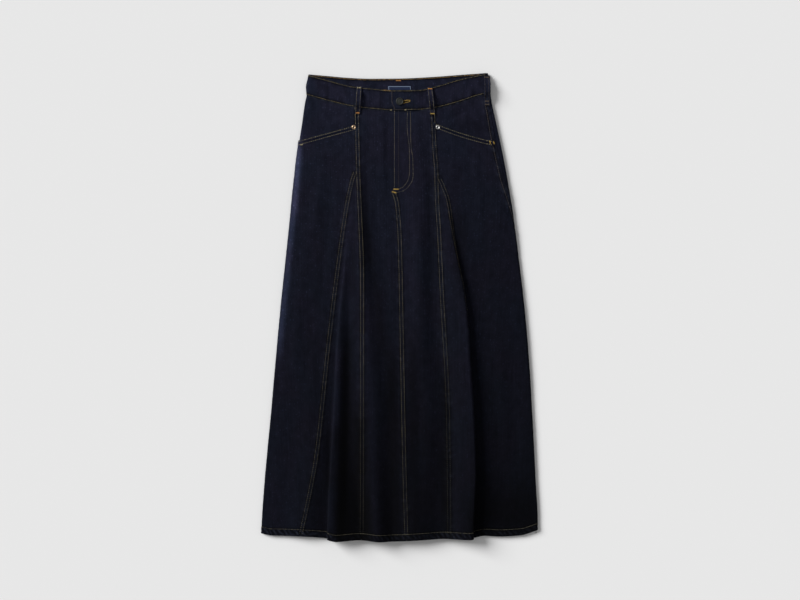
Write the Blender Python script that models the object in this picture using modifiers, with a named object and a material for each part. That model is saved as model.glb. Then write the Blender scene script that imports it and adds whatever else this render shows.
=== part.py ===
# A long denim skirt, lying on its back on a flat surface with its folds as they fell.
#
# The skirt is one flattened tube. A function gives its outer face at any place round it and any
# distance below its top, and every piece of cloth is a wall on that face, between two seams.
# Sides are the wearer's: the right side is at -X and the left side at +X. The waist is towards +Y,
# the hem towards -Y, and the back lies on Z = 0. Tables and named sizes are in millimetres.
import math

import bmesh
import bpy
import numpy as np
from mathutils import Vector

MM = 0.001

# Whole skirt
LENGTH = 935.0
CLOTH = 1.3
SEAM_GAP = 0.3
LAYER_GAP = 0.4
HEM_BAND = 13.5
HEM_WALL = 2.6
HEM_PROUD = 0.5
HEM_STEP = 0.6
BAND_WALL = 2.4
BAND_PROUD = 0.6
WAIST_ROW = 75.0
HEM_ROW = 930.0
CENTRE_BACK = -2.0

# The back waistband lies this high, on its belt loops, down to here, and then sinks over this length
BACK_LIFT = 2.1
BACK_LIFT_END = 64.0
BACK_LIFT_FADE = 40.0

# Outline: places across of the right and the left edge, at distances below the top
OUTLINE = (
    # below, right edge, left edge
    (0, -180.5, 176.5),
    (14, -183.0, 180.5),
    (30, -186.0, 182.0),
    (45, -185.2, 182.8),
    (60, -188.8, 185.2),
    (95, -194.8, 192.8),
    (135, -201.6, 201.2),
    (175, -206.8, 209.4),
    (255, -215.6, 223.4),
    (335, -223.6, 234.2),
    (455, -236.2, 248.8),
    (575, -247.8, 259.6),
    (695, -258.5, 266.8),
    (815, -269.8, 272.8),
    (895, -275.4, 276.8),
    (930, -277.0, 276.0),
)

# Height of the side edges, from the surface to the front face
EDGE_HEIGHT = (
    # below, height
    (0, 7.6),
    (64, 7.6),
    (120, 6.4),
    (930, 6.0),
)

# Waistband: its top edge and the seam under it, across the front
FRONT_WAIST = (
    # across, top edge, waist seam
    (-183, 4.0, 46.5),
    (-141, 15.2, 58.2),
    (-93, 27.5, 69.4),
    (-49, 32.2, 74.8),
    (-15, 35.4, 77.0),
    (33, 35.0, 76.6),
    (81, 25.0, 70.4),
    (118, 13.5, 60.4),
    (166, 3.5, 45.2),
    (182, 0.8, 43.0),
)

# Top edge of the back waistband, which dips less
BACK_WAIST = (
    # across, top edge
    (-182, 3.6),
    (-149, 6.5),
    (-99, 10.8),
    (-59, 12.4),
    (0, 12.0),
    (71, 8.6),
    (121, 4.8),
    (182, 0.5),
)
BACK_BAND = 39.5
BAND_MIDDLE = 60.0

# Bottom edge of the hem
HEM = (
    # across, below
    (-277, 920.0),
    (-255, 924.5),
    (-200, 925.5),
    (-146, 930.0),
    (-125, 934.5),
    (-80, 932.5),
    (-30, 935.0),
    (60, 931.5),
    (95, 930.0),
    (140, 930.5),
    (170, 925.0),
    (200, 926.5),
    (240, 924.5),
    (276, 914.0),
)

# Seams of the front that show all the way: places across, at distances below the top
RIGHT_PRINCESS = (
    # below, across
    (75, -85.0),
    (196, -82.0),
    (424, -74.0),
    (684, -74.0),
    (930, -75.0),
)
LEFT_PRINCESS = (
    # below, across
    (75, 67.0),
    (150, 70.0),
    (196, 73.5),
    (254, 75.2),
    (314, 79.0),
    (424, 84.0),
    (684, 97.0),
    (930, 100.0),
)
RIGHT_GORE_SEAM = (
    # below, across
    (190, -84.5),
    (268, -107.0),
    (372, -121.6),
    (536, -141.2),
    (762, -165.0),
    (836, -178.0),
    (930, -198.0),
)
CENTRE_FRONT = (
    # below, across: the fly's edge, then the centre seam
    (75, -10.6),
    (236, -10.6),
    (262, -4.5),
    (334, 0.8),
    (536, 5.0),
    (762, 9.5),
    (930, 14.0),
)
GORE_TOP = 190.0
GORE_BLEND = 12.0
RIGHT_GORE_START = 1.0
LEFT_GORE_START = 8.0
ROW_AT_GORE_TOP = 177

# Side seams, as a distance round from the outermost edge, towards the back if it is above zero
RIGHT_SIDE_SEAM = (
    # below, distance round
    (0, 4.0),
    (930, 7.0),
)
LEFT_SIDE_SEAM = (
    # below, distance round
    (0, -11.0),
    (75, -14.0),
    (135, -16.5),
    (205, -14.5),
    (255, -7.0),
    (300, 0.0),
    (400, 5.0),
    (930, 7.0),
)

# Folds with a steep face. The right gore stands up as a ridge, and the left gore laps outwards
# over the side panel. The brow is the fold's outermost line, and the turn is how far its face bends.
BEND_RADIUS = 4.0
RIDGE = (
    # below, brow across, height of the face, turn in degrees
    (75, -93, 0.0, 4),
    (268, -100, 0.0, 8),
    (350, -106, 0.8, 25),
    (388, -110, 2.0, 36),
    (470, -119, 5.0, 56),
    (536, -124, 7.5, 70),
    (650, -130, 11.0, 82),
    (762, -136, 15.0, 90),
    (860, -141, 18.8, 94),
    (930, -143, 20.4, 96),
)
LAP = (
    # below, brow across, height of the face, turn in degrees
    (75, 74, 0.0, 4),
    (190, 74, 0.6, 10),
    (230, 88, 1.6, 24),
    (256, 97, 2.6, 36),
    (300, 104, 5.0, 60),
    (344, 111, 8.5, 90),
    (436, 129, 12.5, 112),
    (492, 136, 14.5, 120),
    (573, 142, 16.5, 126),
    (725, 151, 19.0, 130),
    (800, 153, 20.0, 130),
    (854, 151, 20.5, 130),
    (930, 147, 21.0, 128),
)
SEAM_ON_LAP = 0.5

# Softer lines of the front, each a crest, a hollow or a level stretch. Places across and heights are
# given at the waist, hip, knee, calf and hem.
LINE_ROWS = (75, 200, 450, 700, 930)
RIGHT_OF_RIDGE = {
    # name: (across, height) at the waist, hip, knee, calf and hem
    "side panel": ((-140, 7.8), (-152, 6.6), (-188, 6.5), (-214, 6.5), (-240, 6.3)),
    "gore seam": ((-112, 8.2), (-116, 6.8), (-142, 7.0), (-160, 8.6), (-192, 12.4)),
}
RIDGE_FOOT = (8.6, 6.9, 6.4, 6.2, 6.2)
BETWEEN_FOLDS = {
    # name: (across, height) at the waist, hip, knee, calf and hem
    "ridge hollow": ((-88, 8.6), (-88, 7.1), (-101, 8.4), (-98, 10.4), (-76, 15.3)),
    "right crest": ((-78, 8.8), (-78, 9.6), (-73, 14.4), (-60, 20.2), (-43, 26.7)),
    "right hollow": ((-55, 9.0), (-60, 6.8), (-48, 8.6), (-17, 13.5), (-12, 16.8)),
    "centre": ((-5, 9.4), (-1, 8.2), (3, 9.8), (6, 14.2), (12, 19.2)),
    "left crest": ((35, 9.4), (38, 11.0), (42, 14.2), (46, 15.3), (28, 20.0)),
    "left hollow": ((60, 9.0), (62, 7.2), (68, 8.6), (86, 9.7), (84, 12.7)),
}
LAP_FOOT = (8.8, 7.0, 6.2, 6.2, 6.2)
LEFT_OF_LAP = {
    # name: (across, height) at the waist, hip, knee, calf and hem
    "side panel": ((130, 7.8), (150, 6.6), (192, 6.5), (206, 6.5), (214, 6.3)),
}

# Pockets: the mouth leaves the princess seam and runs down to the side
POCKET_TUCK = 14.0
FACING_INSET = 0.5
FACING_SUNK = 0.85
RIGHT_POCKET = (104.0, 0.272, 0.0)
LEFT_POCKET = (99.7, 0.409, -0.00083)

# Fly: the right panel sinks from the first to the second of these distances before the edge
FLY_UNDERLAP = 12.6
FLY_END = 236.0
FLY_TURN = 4.0
FLY_FADE = 22.0
UNDERLAP_SINK = (24.0, 10.5)

# Waistband ends: where they lap, the right band sinks and the left band rises, between these places
TAB_END = (
    # below, across: the left end stands upright and then bends in towards the seam
    (30, -16.8),
    (58, -16.8),
    (63, -15.6),
    (69, -12.6),
    (82, -10.4),
)
UNDERLAP_EDGE = 24.0
LAP_SHIFT = 1.4
RIGHT_BAND_SINK = (-41.0, -23.0)
LEFT_BAND_SINK = (28.0, 50.0)

# Belt loops: the shares of the length where a loop leaves the band, stands full off it, and comes back,
# and the places of the middle of the top and bottom ends
LOOP_WIDTH = 11.0
LOOP_WALL = 1.6
LOOP_STAND_OFF = 4.8
LOOP_STAND = (0.10, 0.32, 0.62, 0.86)
BAND_EDGE = 4.5
LOOPS = {
    # name: (across at the top, below at the top, across at the bottom, below at the bottom)
    "belt_loop_front_right": (-80.0, 29.5, -83.2, 83.8),
    "belt_loop_front_left": (60.8, 31.0, 66.4, 85.2),
    "belt_loop_side_left": (174.0, 8.0, 175.0, 66.5),
}
FLAT_LOOPS = {
    # name: (across, below at the top, below at the bottom)
    "belt_loop_centre_back": (-2.0, 13.5, 61.5),
    "belt_loop_side_right": (-166.0, 6.5, 54.0),
}
FLAT_LOOP_WALL = 1.3

# Trims
BUTTON_ACROSS = 0.8
BUTTON_BELOW = 58.8
BUTTON_RADIUS = 7.5
BUTTON_HEIGHT = 2.8
SHANK_RADIUS = 2.0
EYELET_RADIUS = 2.7
# The buttonhole narrows from the eyelet to its tip: it starts and ends so far from the eyelet's
# middle, along an axis that passes under it, and is twice these half widths wide
SLIT_START = 1.5
SLIT_LENGTH = 20.0
SLIT_OFFSET = -2.4
SLIT_TILT = math.radians(10.0)
SLIT_HALF = (1.5, 0.25)
RIVET_RADIUS = 4.0
RIVET_HEIGHT = 1.5
BUTTON_HEAD = (
    # share of the radius, share of the height: down the outside, from the middle of the top
    (0.0, 0.89),
    (0.45, 0.875),
    (0.62, 0.75),
    (0.74, 0.93),
    (0.88, 0.93),
    (1.0, 0.55),
    (1.0, 0.25),
    (0.9, 0.0),
)
RIVET_HEAD = (
    # share of the radius, share of the height: down the outside, from the middle of the top
    (0.0, 0.8),
    (0.3, 1.0),
    (0.75, 0.9),
    (1.0, 0.3),
    (1.0, 0.0),
    (0.0, 0.0),
)
RIVETS = {
    # name: (across, below)
    "pocket_rivet_right": (-90.8, 109.6),
    "pocket_rivet_left": (76.6, 109.8),
}
CUT_DEPTH = 12.0
EYELET_SIDES = 20
LABEL_ACROSS = (-23.0, 23.0)
LABEL_BELOW = (27.0, 57.0)
LABEL_WALL = 1.0

# Rows of points down the long panels
PANEL_ROWS = (
    75, 95, 120, 150, 190, 225, 262, 300, 344, 392, 445, 505,
    570, 640, 710, 780, 840, 888, HEM_ROW - HEM_BAND, HEM_ROW - HEM_BAND + HEM_STEP, HEM_ROW,
)
BACK_ROWS = (
    75, 88, 102, 120, 150, 190, 225, 262, 300, 344, 392, 500,
    620, 760, 888, HEM_ROW - HEM_BAND, HEM_ROW - HEM_BAND + HEM_STEP, HEM_ROW,
)

# How far down the rows follow the waist seam or the pocket mouth, and where they take up the hem's line
WAIST_FADE = 140.0
POCKET_FADE = 190.0
HEM_FADE = (80.0, 14.0)

# How strongly the columns gather where the cloth bends
BEND_SHARE = 45.0
MOST_BEND = 0.2
BEND_WINDOW = 9
FINE_STEPS = 500

# Distances round that are looked up, as (start, end, step), and how often a place is worked out anew
ROUND_RANGE = (-650.0, 1300.0, 0.5)
SETTLE_STEPS = 6
TRIM_STEPS = 24
SHARP_ANGLE = math.radians(40)


def smooth(share):
    """A soft step from 0 to 1."""
    share = np.clip(share, 0.0, 1.0)
    return share * share * (3.0 - 2.0 * share)


def curve(places, values):
    """A smooth curve through a table's values that never swings past them."""
    places = np.array(places, float)
    values = np.array(values, float)
    steps = np.diff(places)
    rises = np.diff(values) / steps
    slopes = np.zeros(len(places))
    slopes[0] = rises[0]
    slopes[-1] = rises[-1]
    before, after = rises[:-1], rises[1:]
    steady = before * after > 0
    slopes[1:-1][steady] = (2 * before * after / (before + after + 1e-12))[steady]

    def value(at):
        at = np.clip(at, places[0], places[-1])
        i = np.clip(np.searchsorted(places, at, side="right") - 1, 0, len(steps) - 1)
        f = (at - places[i]) / steps[i]
        start = values[i] * (1 + 2 * f) * (1 - f) ** 2 + slopes[i] * steps[i] * f * (1 - f) ** 2
        end = values[i + 1] * f * f * (3 - 2 * f) + slopes[i + 1] * steps[i] * f * f * (f - 1)
        return start + end

    return value


def column(table, number):
    """The curve of one column of a table whose first column is the place."""
    return curve([row[0] for row in table], [row[number] for row in table])


def line(points):
    """The curves of one soft line's place across and height, from the waist to the hem."""
    across = curve(LINE_ROWS, [point[0] for point in points])
    height = curve(LINE_ROWS, [point[1] for point in points])
    return across, height


right_edge = column(OUTLINE, 1)
left_edge = column(OUTLINE, 2)
edge_height = column(EDGE_HEIGHT, 1)
front_top = column(FRONT_WAIST, 1)
front_seam = column(FRONT_WAIST, 2)
back_top = column(BACK_WAIST, 1)
hem_line = column(HEM, 1)
right_princess_line = column(RIGHT_PRINCESS, 1)
left_princess_line = column(LEFT_PRINCESS, 1)
right_gore_line = column(RIGHT_GORE_SEAM, 1)
centre_line = column(CENTRE_FRONT, 1)
right_side_offset = column(RIGHT_SIDE_SEAM, 1)
left_side_offset = column(LEFT_SIDE_SEAM, 1)
ridge_foot_height = curve(LINE_ROWS, RIDGE_FOOT)
lap_foot_height = curve(LINE_ROWS, LAP_FOOT)
outer_right_lines = [line(points) for points in RIGHT_OF_RIDGE.values()]
middle_lines = [line(points) for points in BETWEEN_FOLDS.values()]
outer_left_lines = [line(points) for points in LEFT_OF_LAP.values()]


class Fold:
    """The steep face of a fold at some rows: a round bend, a straight and a second bend back."""

    def __init__(self, table, below):
        brow = column(table, 1)(below)
        self.height = np.maximum(column(table, 2)(below), 0.02)
        self.turn = np.radians(column(table, 3)(below))
        fall = 1.0 - np.cos(self.turn)
        self.radius = np.minimum(BEND_RADIUS, 0.5 * self.height / fall)
        self.straight = (self.height - 2 * self.radius * fall) / np.sin(self.turn)
        self.reach = 2 * self.radius * np.sin(self.turn) + self.straight * np.cos(self.turn)
        self.length = 2 * self.radius * self.turn + self.straight
        half_face = self.radius * np.sin(self.turn) + SEAM_ON_LAP * self.straight * np.cos(self.turn)
        upright = self.turn >= math.radians(90)
        self.brow_reach = np.where(upright, self.radius, half_face)
        self.brow = brow

    def at(self, distance):
        """How far outwards and how far down the face goes, this far round from its crest."""
        first = np.clip(distance / self.radius, 0.0, self.turn)
        level = np.clip(distance - self.radius * self.turn, 0.0, self.straight)
        second = (distance - self.radius * self.turn - self.straight) / self.radius
        left = self.turn - np.clip(second, 0.0, self.turn)
        out = self.radius * (np.sin(first) + np.sin(self.turn) - np.sin(left))
        down = self.radius * (1 - np.cos(first) + np.cos(left) - np.cos(self.turn))
        return out + level * np.cos(self.turn), down + level * np.sin(self.turn)


def relief(across, knots):
    """The height at a place across, eased from one knot to the next."""
    height = knots[0][1]
    for (near, low), (far, high) in zip(knots[:-1], knots[1:]):
        height = height + (high - low) * smooth((across - near) / (far - near))
    return height


class Section:
    """Everything about the flattened tube at some distances below the top."""

    def __init__(self, below):
        self.below = below
        self.floor = BACK_LIFT * (1 - smooth((below - BACK_LIFT_END) / BACK_LIFT_FADE))
        self.top = edge_height(below)
        self.radius = (self.top - self.floor) / 2
        self.right = right_edge(below) + self.radius
        self.left = left_edge(below) - self.radius
        self.ridge = Fold(RIDGE, below)
        self.lap = Fold(LAP, below)
        self.ridge_crest = self.ridge.brow + self.ridge.brow_reach
        self.lap_crest = self.lap.brow - self.lap.brow_reach
        self.ridge_foot = self.ridge_crest - self.ridge.reach
        self.lap_foot = self.lap_crest + self.lap.reach
        # Distances round at which the side turns begin
        self.right_turn = self.round_at(self.right)
        self.left_turn = self.round_at(self.left)
        self.flat_back = self.left - self.right
        self.whole = self.left_turn - self.right_turn + 2 * math.pi * self.radius + self.flat_back

    def round_at(self, across):
        """The distance round of a place across the front, measured from the middle."""
        right = across - self.ridge_foot + self.ridge_crest - self.ridge.length
        left = across - self.lap_foot + self.lap_crest + self.lap.length
        beyond_left = np.where(across > self.lap_crest, np.maximum(left, self.lap_crest), across)
        return np.where(across < self.ridge_crest, np.minimum(right, self.ridge_crest), beyond_left)

    def right_knots(self):
        knots = [(self.right, self.top)]
        knots += [(across(self.below), height(self.below)) for across, height in outer_right_lines]
        return knots + [(self.ridge_foot, ridge_foot_height(self.below))]

    def middle_knots(self):
        start = (self.ridge_crest, ridge_foot_height(self.below) + self.ridge.height)
        lines = [(across(self.below), height(self.below)) for across, height in middle_lines]
        return [start] + lines + [(self.lap_crest, lap_foot_height(self.below) + self.lap.height)]

    def left_knots(self):
        lines = [(across(self.below), height(self.below)) for across, height in outer_left_lines]
        return [(self.lap_foot, lap_foot_height(self.below))] + lines + [(self.left, self.top)]

    def place(self, around):
        """Place across, height, and share of the front, at distances round."""
        past_back = around > self.left_turn + math.pi * self.radius + self.flat_back
        around = np.where(past_back, around - self.whole, around)
        ridge_out, ridge_down = self.ridge.at(np.maximum(self.ridge_crest - around, 0.0))
        lap_out, lap_down = self.lap.at(np.maximum(around - self.lap_crest, 0.0))
        past_ridge = np.maximum(self.ridge_crest - self.ridge.length - around, 0.0)
        past_lap = np.maximum(around - self.lap_crest - self.lap.length, 0.0)
        across = np.clip(around, self.ridge_crest, self.lap_crest)
        across = across - ridge_out - past_ridge + lap_out + past_lap
        height = relief(across, self.middle_knots())
        on_ridge = (around < self.ridge_crest) & (past_ridge <= 0)
        on_lap = (around > self.lap_crest) & (past_lap <= 0)
        ridge_top = ridge_foot_height(self.below) + self.ridge.height
        lap_top = lap_foot_height(self.below) + self.lap.height
        height = np.where(past_ridge > 0, relief(across, self.right_knots()), height)
        height = np.where(past_lap > 0, relief(across, self.left_knots()), height)
        height = np.where(on_ridge, ridge_top - ridge_down, height)
        height = np.where(on_lap, lap_top - lap_down, height)

        beyond_right = np.maximum(self.right_turn - around, 0.0)
        beyond_left = np.maximum(around - self.left_turn, 0.0)
        beyond = beyond_right + beyond_left
        angle = np.clip(beyond / self.radius, 0.0, math.pi)
        back = np.maximum(beyond - math.pi * self.radius, 0.0)
        outwards = self.radius * np.sin(angle) - back
        turned = self.floor + self.radius * (1 + np.cos(angle))
        height = np.where(beyond > 0, turned, height)
        across = np.where(beyond_right > 0, self.right - outwards, across)
        across = np.where(beyond_left > 0, self.left + outwards, across)
        return across, height, (1 + np.cos(angle)) / 2

    def right_extreme(self):
        return self.right_turn - self.radius * math.pi / 2

    def left_extreme(self):
        return self.left_turn + self.radius * math.pi / 2

    def on_back(self, across, side):
        """The distance round of a place on the back, reached by the right (-1) or left (+1) side."""
        flat = self.left - across if side > 0 else across - self.right
        turn = self.left_turn if side > 0 else self.right_turn
        return turn + side * (math.pi * self.radius + flat)


def section(below):
    return Section(np.asarray(below, float))


def face(around, below):
    """Points of the outer face in millimetres, and the directions out of it."""
    def point(a, b):
        across, height, _ = section(b).place(a)
        return np.stack([across, LENGTH / 2 - b, height], axis=-1)

    step = 0.05
    here = point(around, below)
    round_it = point(around + step, below) - point(around - step, below)
    down_it = point(around, below + step) - point(around, below - step)
    out = np.cross(down_it, round_it)
    out /= np.linalg.norm(out, axis=-1, keepdims=True)
    return here, out


def edge_round(edge, guess):
    """An edge of the cloth that depends on the place across, as a curve of the distance round."""
    around = np.arange(*ROUND_RANGE)
    below = np.full(len(around), float(guess))
    for _ in range(SETTLE_STEPS):
        across, _, front = section(below).place(around)
        below = edge(across, front)
    return lambda at: np.interp(at, around, below)


def waist_top(across, front):
    return front * front_top(across) + (1 - front) * back_top(across)


def waist_seam(across, front):
    return front * front_seam(across) + (1 - front) * (back_top(across) + BACK_BAND)


def right_pocket(across, front):
    out = right_princess_line(105) - across
    top, slope, bow = RIGHT_POCKET
    return top + slope * out + bow * out * out


def left_pocket(across, front):
    out = across - left_princess_line(105)
    top, slope, bow = LEFT_POCKET
    return top + slope * out + bow * out * out


waist_top_edge = edge_round(waist_top, 20)
waist_seam_edge = edge_round(waist_seam, 60)
right_pocket_edge = edge_round(right_pocket, 120)
left_pocket_edge = edge_round(left_pocket, 120)
hem_edge = edge_round(lambda across, front: hem_line(across), HEM_ROW)


# Seams, each as a distance round at a distance below the top
def right_princess(below):
    return section(below).round_at(right_princess_line(below))


def left_princess(below):
    return section(below).round_at(left_princess_line(below))


def centre_front(below):
    return section(below).round_at(centre_line(below))


def above_gore(below):
    """1 where the side panels meet the princess seams, above the gores, and 0 beside the gores."""
    return 1 - smooth((below - GORE_TOP + GORE_BLEND) / GORE_BLEND)


def right_gore_seam(below):
    """The seam of the right side panel: the gore's below the gore's top, the princess seam's above."""
    gore = section(below).round_at(right_gore_line(below))
    return gore + (right_princess(below) - gore) * above_gore(below)


def left_gore_seam(below):
    """The seam of the left side panel, in the middle of the lap's face, so the lap hides it."""
    here = section(below)
    gore = here.lap_crest + here.lap.radius * here.lap.turn + SEAM_ON_LAP * here.lap.straight
    return gore + (left_princess(below) - gore) * above_gore(below)


def right_side_seam(below):
    return section(below).right_extreme() - right_side_offset(below)


def left_side_seam(below):
    return section(below).left_extreme() + left_side_offset(below)


def back_seam_by_right(below):
    return section(below).on_back(CENTRE_BACK, -1)


def back_seam_by_left(below):
    return section(below).on_back(CENTRE_BACK, 1)


def right_side_seam_by_left(below):
    """The right side seam, reached the long way round the back."""
    return right_side_seam(below) + section(below).whole


# Where each row of a piece lies: distance below the top of its points
def panel_drop(row, around):
    """Rows that follow the waist seam at their top and the hem at their bottom."""
    at_top = 1 - smooth((row - WAIST_ROW) / WAIST_FADE)
    drop = np.full(np.shape(around), float(row))
    drop += at_top * (waist_seam_edge(around) + SEAM_GAP / 2 - WAIST_ROW)
    return drop + at_hem(row) * (hem_edge(around) - HEM_ROW)


def at_hem(row):
    """How far a row follows the hem's line, from 0 to 1."""
    start, end = HEM_FADE
    return smooth((row - HEM_ROW + start) / (start - end))


def side_panel_drop(pocket_edge):
    """Rows that follow the pocket mouth at their top and the hem at their bottom."""
    def drop_of(row, around):
        at_top = 1 - smooth((row - WAIST_ROW) / POCKET_FADE)
        drop = np.full(np.shape(around), float(row))
        drop += at_top * (pocket_edge(around) - WAIST_ROW)
        return drop + at_hem(row) * (hem_edge(around) - HEM_ROW)
    return drop_of


def facing_drop(pocket_edge):
    """Rows from the waist seam (0) to the pocket mouth (1) and its tuck under the side panel (2)."""
    def drop_of(row, around):
        start = waist_seam_edge(around) + SEAM_GAP / 2
        reach = pocket_edge(around) - start
        return start + min(row, 1.0) * reach + max(row - 1.0, 0.0) * POCKET_TUCK
    return drop_of


def band_drop(row, around):
    """Rows from the waistband's top edge (0) to the seam under it (1)."""
    top = waist_top_edge(around)
    return top + row * (waist_seam_edge(around) - SEAM_GAP / 2 - top)


def straight_drop(row, around):
    return np.full(np.shape(around), float(row))


def settle_mark(mark, row, drop_of, inset):
    """The distance round of a seam on one row, and inset from it."""
    below = np.array([max(float(row), BAND_MIDDLE)])
    for _ in range(SETTLE_STEPS):
        around = mark(below) + inset
        below = drop_of(row, around)
    return float(around[0])


def spread(start, end, row, drop_of, columns):
    """Distances round between two seams, closer together where the cloth bends."""
    dense = np.linspace(start, end, FINE_STEPS + 1)
    across, height, _ = section(drop_of(row, dense)).place(dense)
    heading = np.unwrap(np.arctan2(np.diff(height), np.diff(across)))
    bending = np.concatenate([[0.0], np.abs(np.diff(heading)), [0.0]])
    bending = np.convolve(bending, np.ones(BEND_WINDOW) / BEND_WINDOW, "same")
    share = np.abs(np.gradient(dense)) + BEND_SHARE * np.minimum(bending, MOST_BEND)
    total = np.concatenate([[0.0], np.cumsum((share[1:] + share[:-1]) / 2)])
    return np.interp(np.linspace(0, total[-1], columns + 1), total, dense)


def finish(name, mesh, material):
    obj = bpy.data.objects.new(name, mesh)
    mesh.materials.append(material)
    skirt.objects.link(obj)
    return obj


def lay_cloth(name, start, end, columns, rows, drop_of, level, wall, material):
    """A flat slab of cloth in a grid, each of whose points is then laid in its place."""
    count = len(rows)
    outer = np.zeros((count, columns + 1, 3))
    inner = np.zeros((count, columns + 1, 3))
    for number, row in enumerate(rows):
        first = settle_mark(start, row, drop_of, SEAM_GAP / 2)
        last = settle_mark(end, row, drop_of, -SEAM_GAP / 2)
        around = spread(first, last, row, drop_of, columns)
        below = drop_of(row, around)
        points, out = face(around, below)
        lift = (level(row, around, below) * np.ones(len(around)))[:, None]
        outer[number] = points + out * lift
        inner[number] = points + out * (lift - wall(row))
    outer[:, :, 2] = np.maximum(outer[:, :, 2], 0.0)

    slab = bmesh.new()
    bmesh.ops.create_grid(slab, x_segments=columns, y_segments=count - 1, size=1.0)
    bmesh.ops.solidify(slab, geom=slab.faces[:], thickness=1.0)
    for corner in slab.verts:
        across = round((corner.co.x + 1) / 2 * columns)
        along = round((1 - corner.co.y) / 2 * (count - 1))
        sheet = outer if abs(corner.co.z) < 0.5 else inner
        corner.co = sheet[along, across] * MM
    bmesh.ops.recalc_face_normals(slab, faces=slab.faces)
    mesh = bpy.data.meshes.new(name)
    slab.to_mesh(mesh)
    slab.free()
    mesh.shade_smooth()
    mesh.set_sharp_from_angle(angle=SHARP_ANGLE)
    return finish(name, mesh, material)


def in_hem(row):
    return row > HEM_ROW - HEM_BAND + HEM_STEP / 2


def panel_wall(row):
    return HEM_WALL if in_hem(row) else CLOTH


def panel_level(row, around, below):
    return HEM_PROUD if in_hem(row) else 0.0


def turned(name, profile, place, out, material):
    """A round trim: a profile of (radius, height) turned about Z, then set at a place facing out."""
    mesh = bpy.data.meshes.new(name)
    points = [(radius * MM, 0.0, height * MM) for radius, height in profile]
    edges = [(number, number + 1) for number in range(len(points) - 1)]
    mesh.from_pydata(points, edges, [])
    obj = finish(name, mesh, material)
    obj.location = Vector(place) * MM
    obj.rotation_mode = "QUATERNION"
    obj.rotation_quaternion = Vector(out).to_track_quat("Z", "Y")
    screw = obj.modifiers.new("turn", "SCREW")
    screw.axis = "Z"
    screw.steps = TRIM_STEPS
    screw.render_steps = TRIM_STEPS
    screw.use_merge_vertices = True
    screw.merge_threshold = 0.00001
    return obj


def principled(name, colour, roughness, metallic=0.0):
    material = bpy.data.materials.new(name)
    material.use_nodes = True
    shader = material.node_tree.nodes["Principled BSDF"]
    shader.inputs["Base Color"].default_value = (*colour, 1.0)
    shader.inputs["Roughness"].default_value = roughness
    shader.inputs["Metallic"].default_value = metallic
    return material


for old in list(bpy.data.objects):
    bpy.data.objects.remove(old)
skirt = bpy.data.collections.new("denim_skirt")
cutters = bpy.data.collections.new("cutters")
bpy.context.scene.collection.children.link(skirt)
bpy.context.scene.collection.children.link(cutters)

denim = principled("dark_denim", (0.012, 0.018, 0.040), 0.85)
dark_metal = principled("blackened_metal", (0.10, 0.10, 0.11), 0.45, 1.0)
copper_metal = principled("copper_metal", (0.72, 0.44, 0.20), 0.35, 1.0)
pale_metal = principled("pale_metal", (0.70, 0.70, 0.68), 0.30, 1.0)
label_weave = principled("label_weave", (0.02, 0.06, 0.17), 0.8)


def panel(name, start, end, columns, rows=PANEL_ROWS, drop_of=panel_drop, level=panel_level):
    return lay_cloth(name, start, end, columns, rows, drop_of, level, panel_wall, denim)


# Centre panels: the left one laps over the right one at the fly
def underlap_edge(below):
    lapped = FLY_UNDERLAP * (1 - smooth((below - FLY_END) / FLY_TURN))
    return centre_front(below) + lapped


def underlap_level(row, around, below):
    """The right panel sinks under the left one along the fly."""
    start, end = UNDERLAP_SINK
    sunk = smooth((around - centre_front(below) + start) / (start - end))
    fading = 1 - smooth((below - FLY_END - FLY_TURN) / FLY_FADE)
    return panel_level(row, around, below) - (CLOTH + LAYER_GAP) * sunk * fading


FLY_ROWS = tuple(sorted(set(PANEL_ROWS) - {225} | {215.0, FLY_END, FLY_END + FLY_TURN}))
panel("centre_front_right", right_princess, underlap_edge, 11, FLY_ROWS, level=underlap_level)
panel("centre_front_left", centre_front, left_princess, 11, FLY_ROWS)

# Gores, from the hip down
GORE_ROWS = (GORE_TOP + LEFT_GORE_START, 208) + tuple(row for row in PANEL_ROWS if row >= 225)
panel("gore_right", right_gore_seam, right_princess, 14, (GORE_TOP + RIGHT_GORE_START,) + GORE_ROWS)
panel("gore_left", left_princess, left_gore_seam, 18, GORE_ROWS)

# Side panels, whose top edge is the pocket mouth, and the facings under it
right_rows = side_panel_drop(right_pocket_edge)
left_rows = side_panel_drop(left_pocket_edge)
SIDE_ROWS = tuple(sorted(PANEL_ROWS + (ROW_AT_GORE_TOP,)))
panel("side_front_right", right_side_seam, right_gore_seam, 11, SIDE_ROWS, drop_of=right_rows)
panel("side_front_left", left_gore_seam, left_side_seam, 13, SIDE_ROWS, drop_of=left_rows)

FACING_ROWS = (0, 0.3, 0.6, 0.88, 1.0, 1.5, 2.0)


def facing_level(row, around, below):
    """The facing sinks under the side panel before it reaches the pocket mouth."""
    return -(CLOTH + LAYER_GAP) * smooth(row / FACING_SUNK)


def facing_wall(row):
    return CLOTH


def right_facing_side(below):
    """The facing stops a little before the side seam, where it would rub on the back."""
    return right_side_seam(below) + FACING_INSET


def left_facing_side(below):
    return left_side_seam(below) - FACING_INSET


for name, start, end, columns, mouth in (
    ("pocket_facing_right", right_facing_side, right_princess, 11, right_pocket_edge),
    ("pocket_facing_left", left_princess, left_facing_side, 11, left_pocket_edge),
):
    lay_cloth(
        name, start, end, columns, FACING_ROWS, facing_drop(mouth), facing_level, facing_wall, denim,
    )


# Back panels, whose underside is flat
def back_level(row, around, below):
    return 0.0


panel("back_right", back_seam_by_right, right_side_seam, 12, BACK_ROWS, level=back_level)
panel("back_left", left_side_seam, back_seam_by_left, 14, BACK_ROWS, level=back_level)


# Waistband: the left front end laps over the right one
BAND_ROWS = (0, 0.35, 0.55, 0.7, 0.85, 1.0)


def band_wall(row):
    return BAND_WALL


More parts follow.
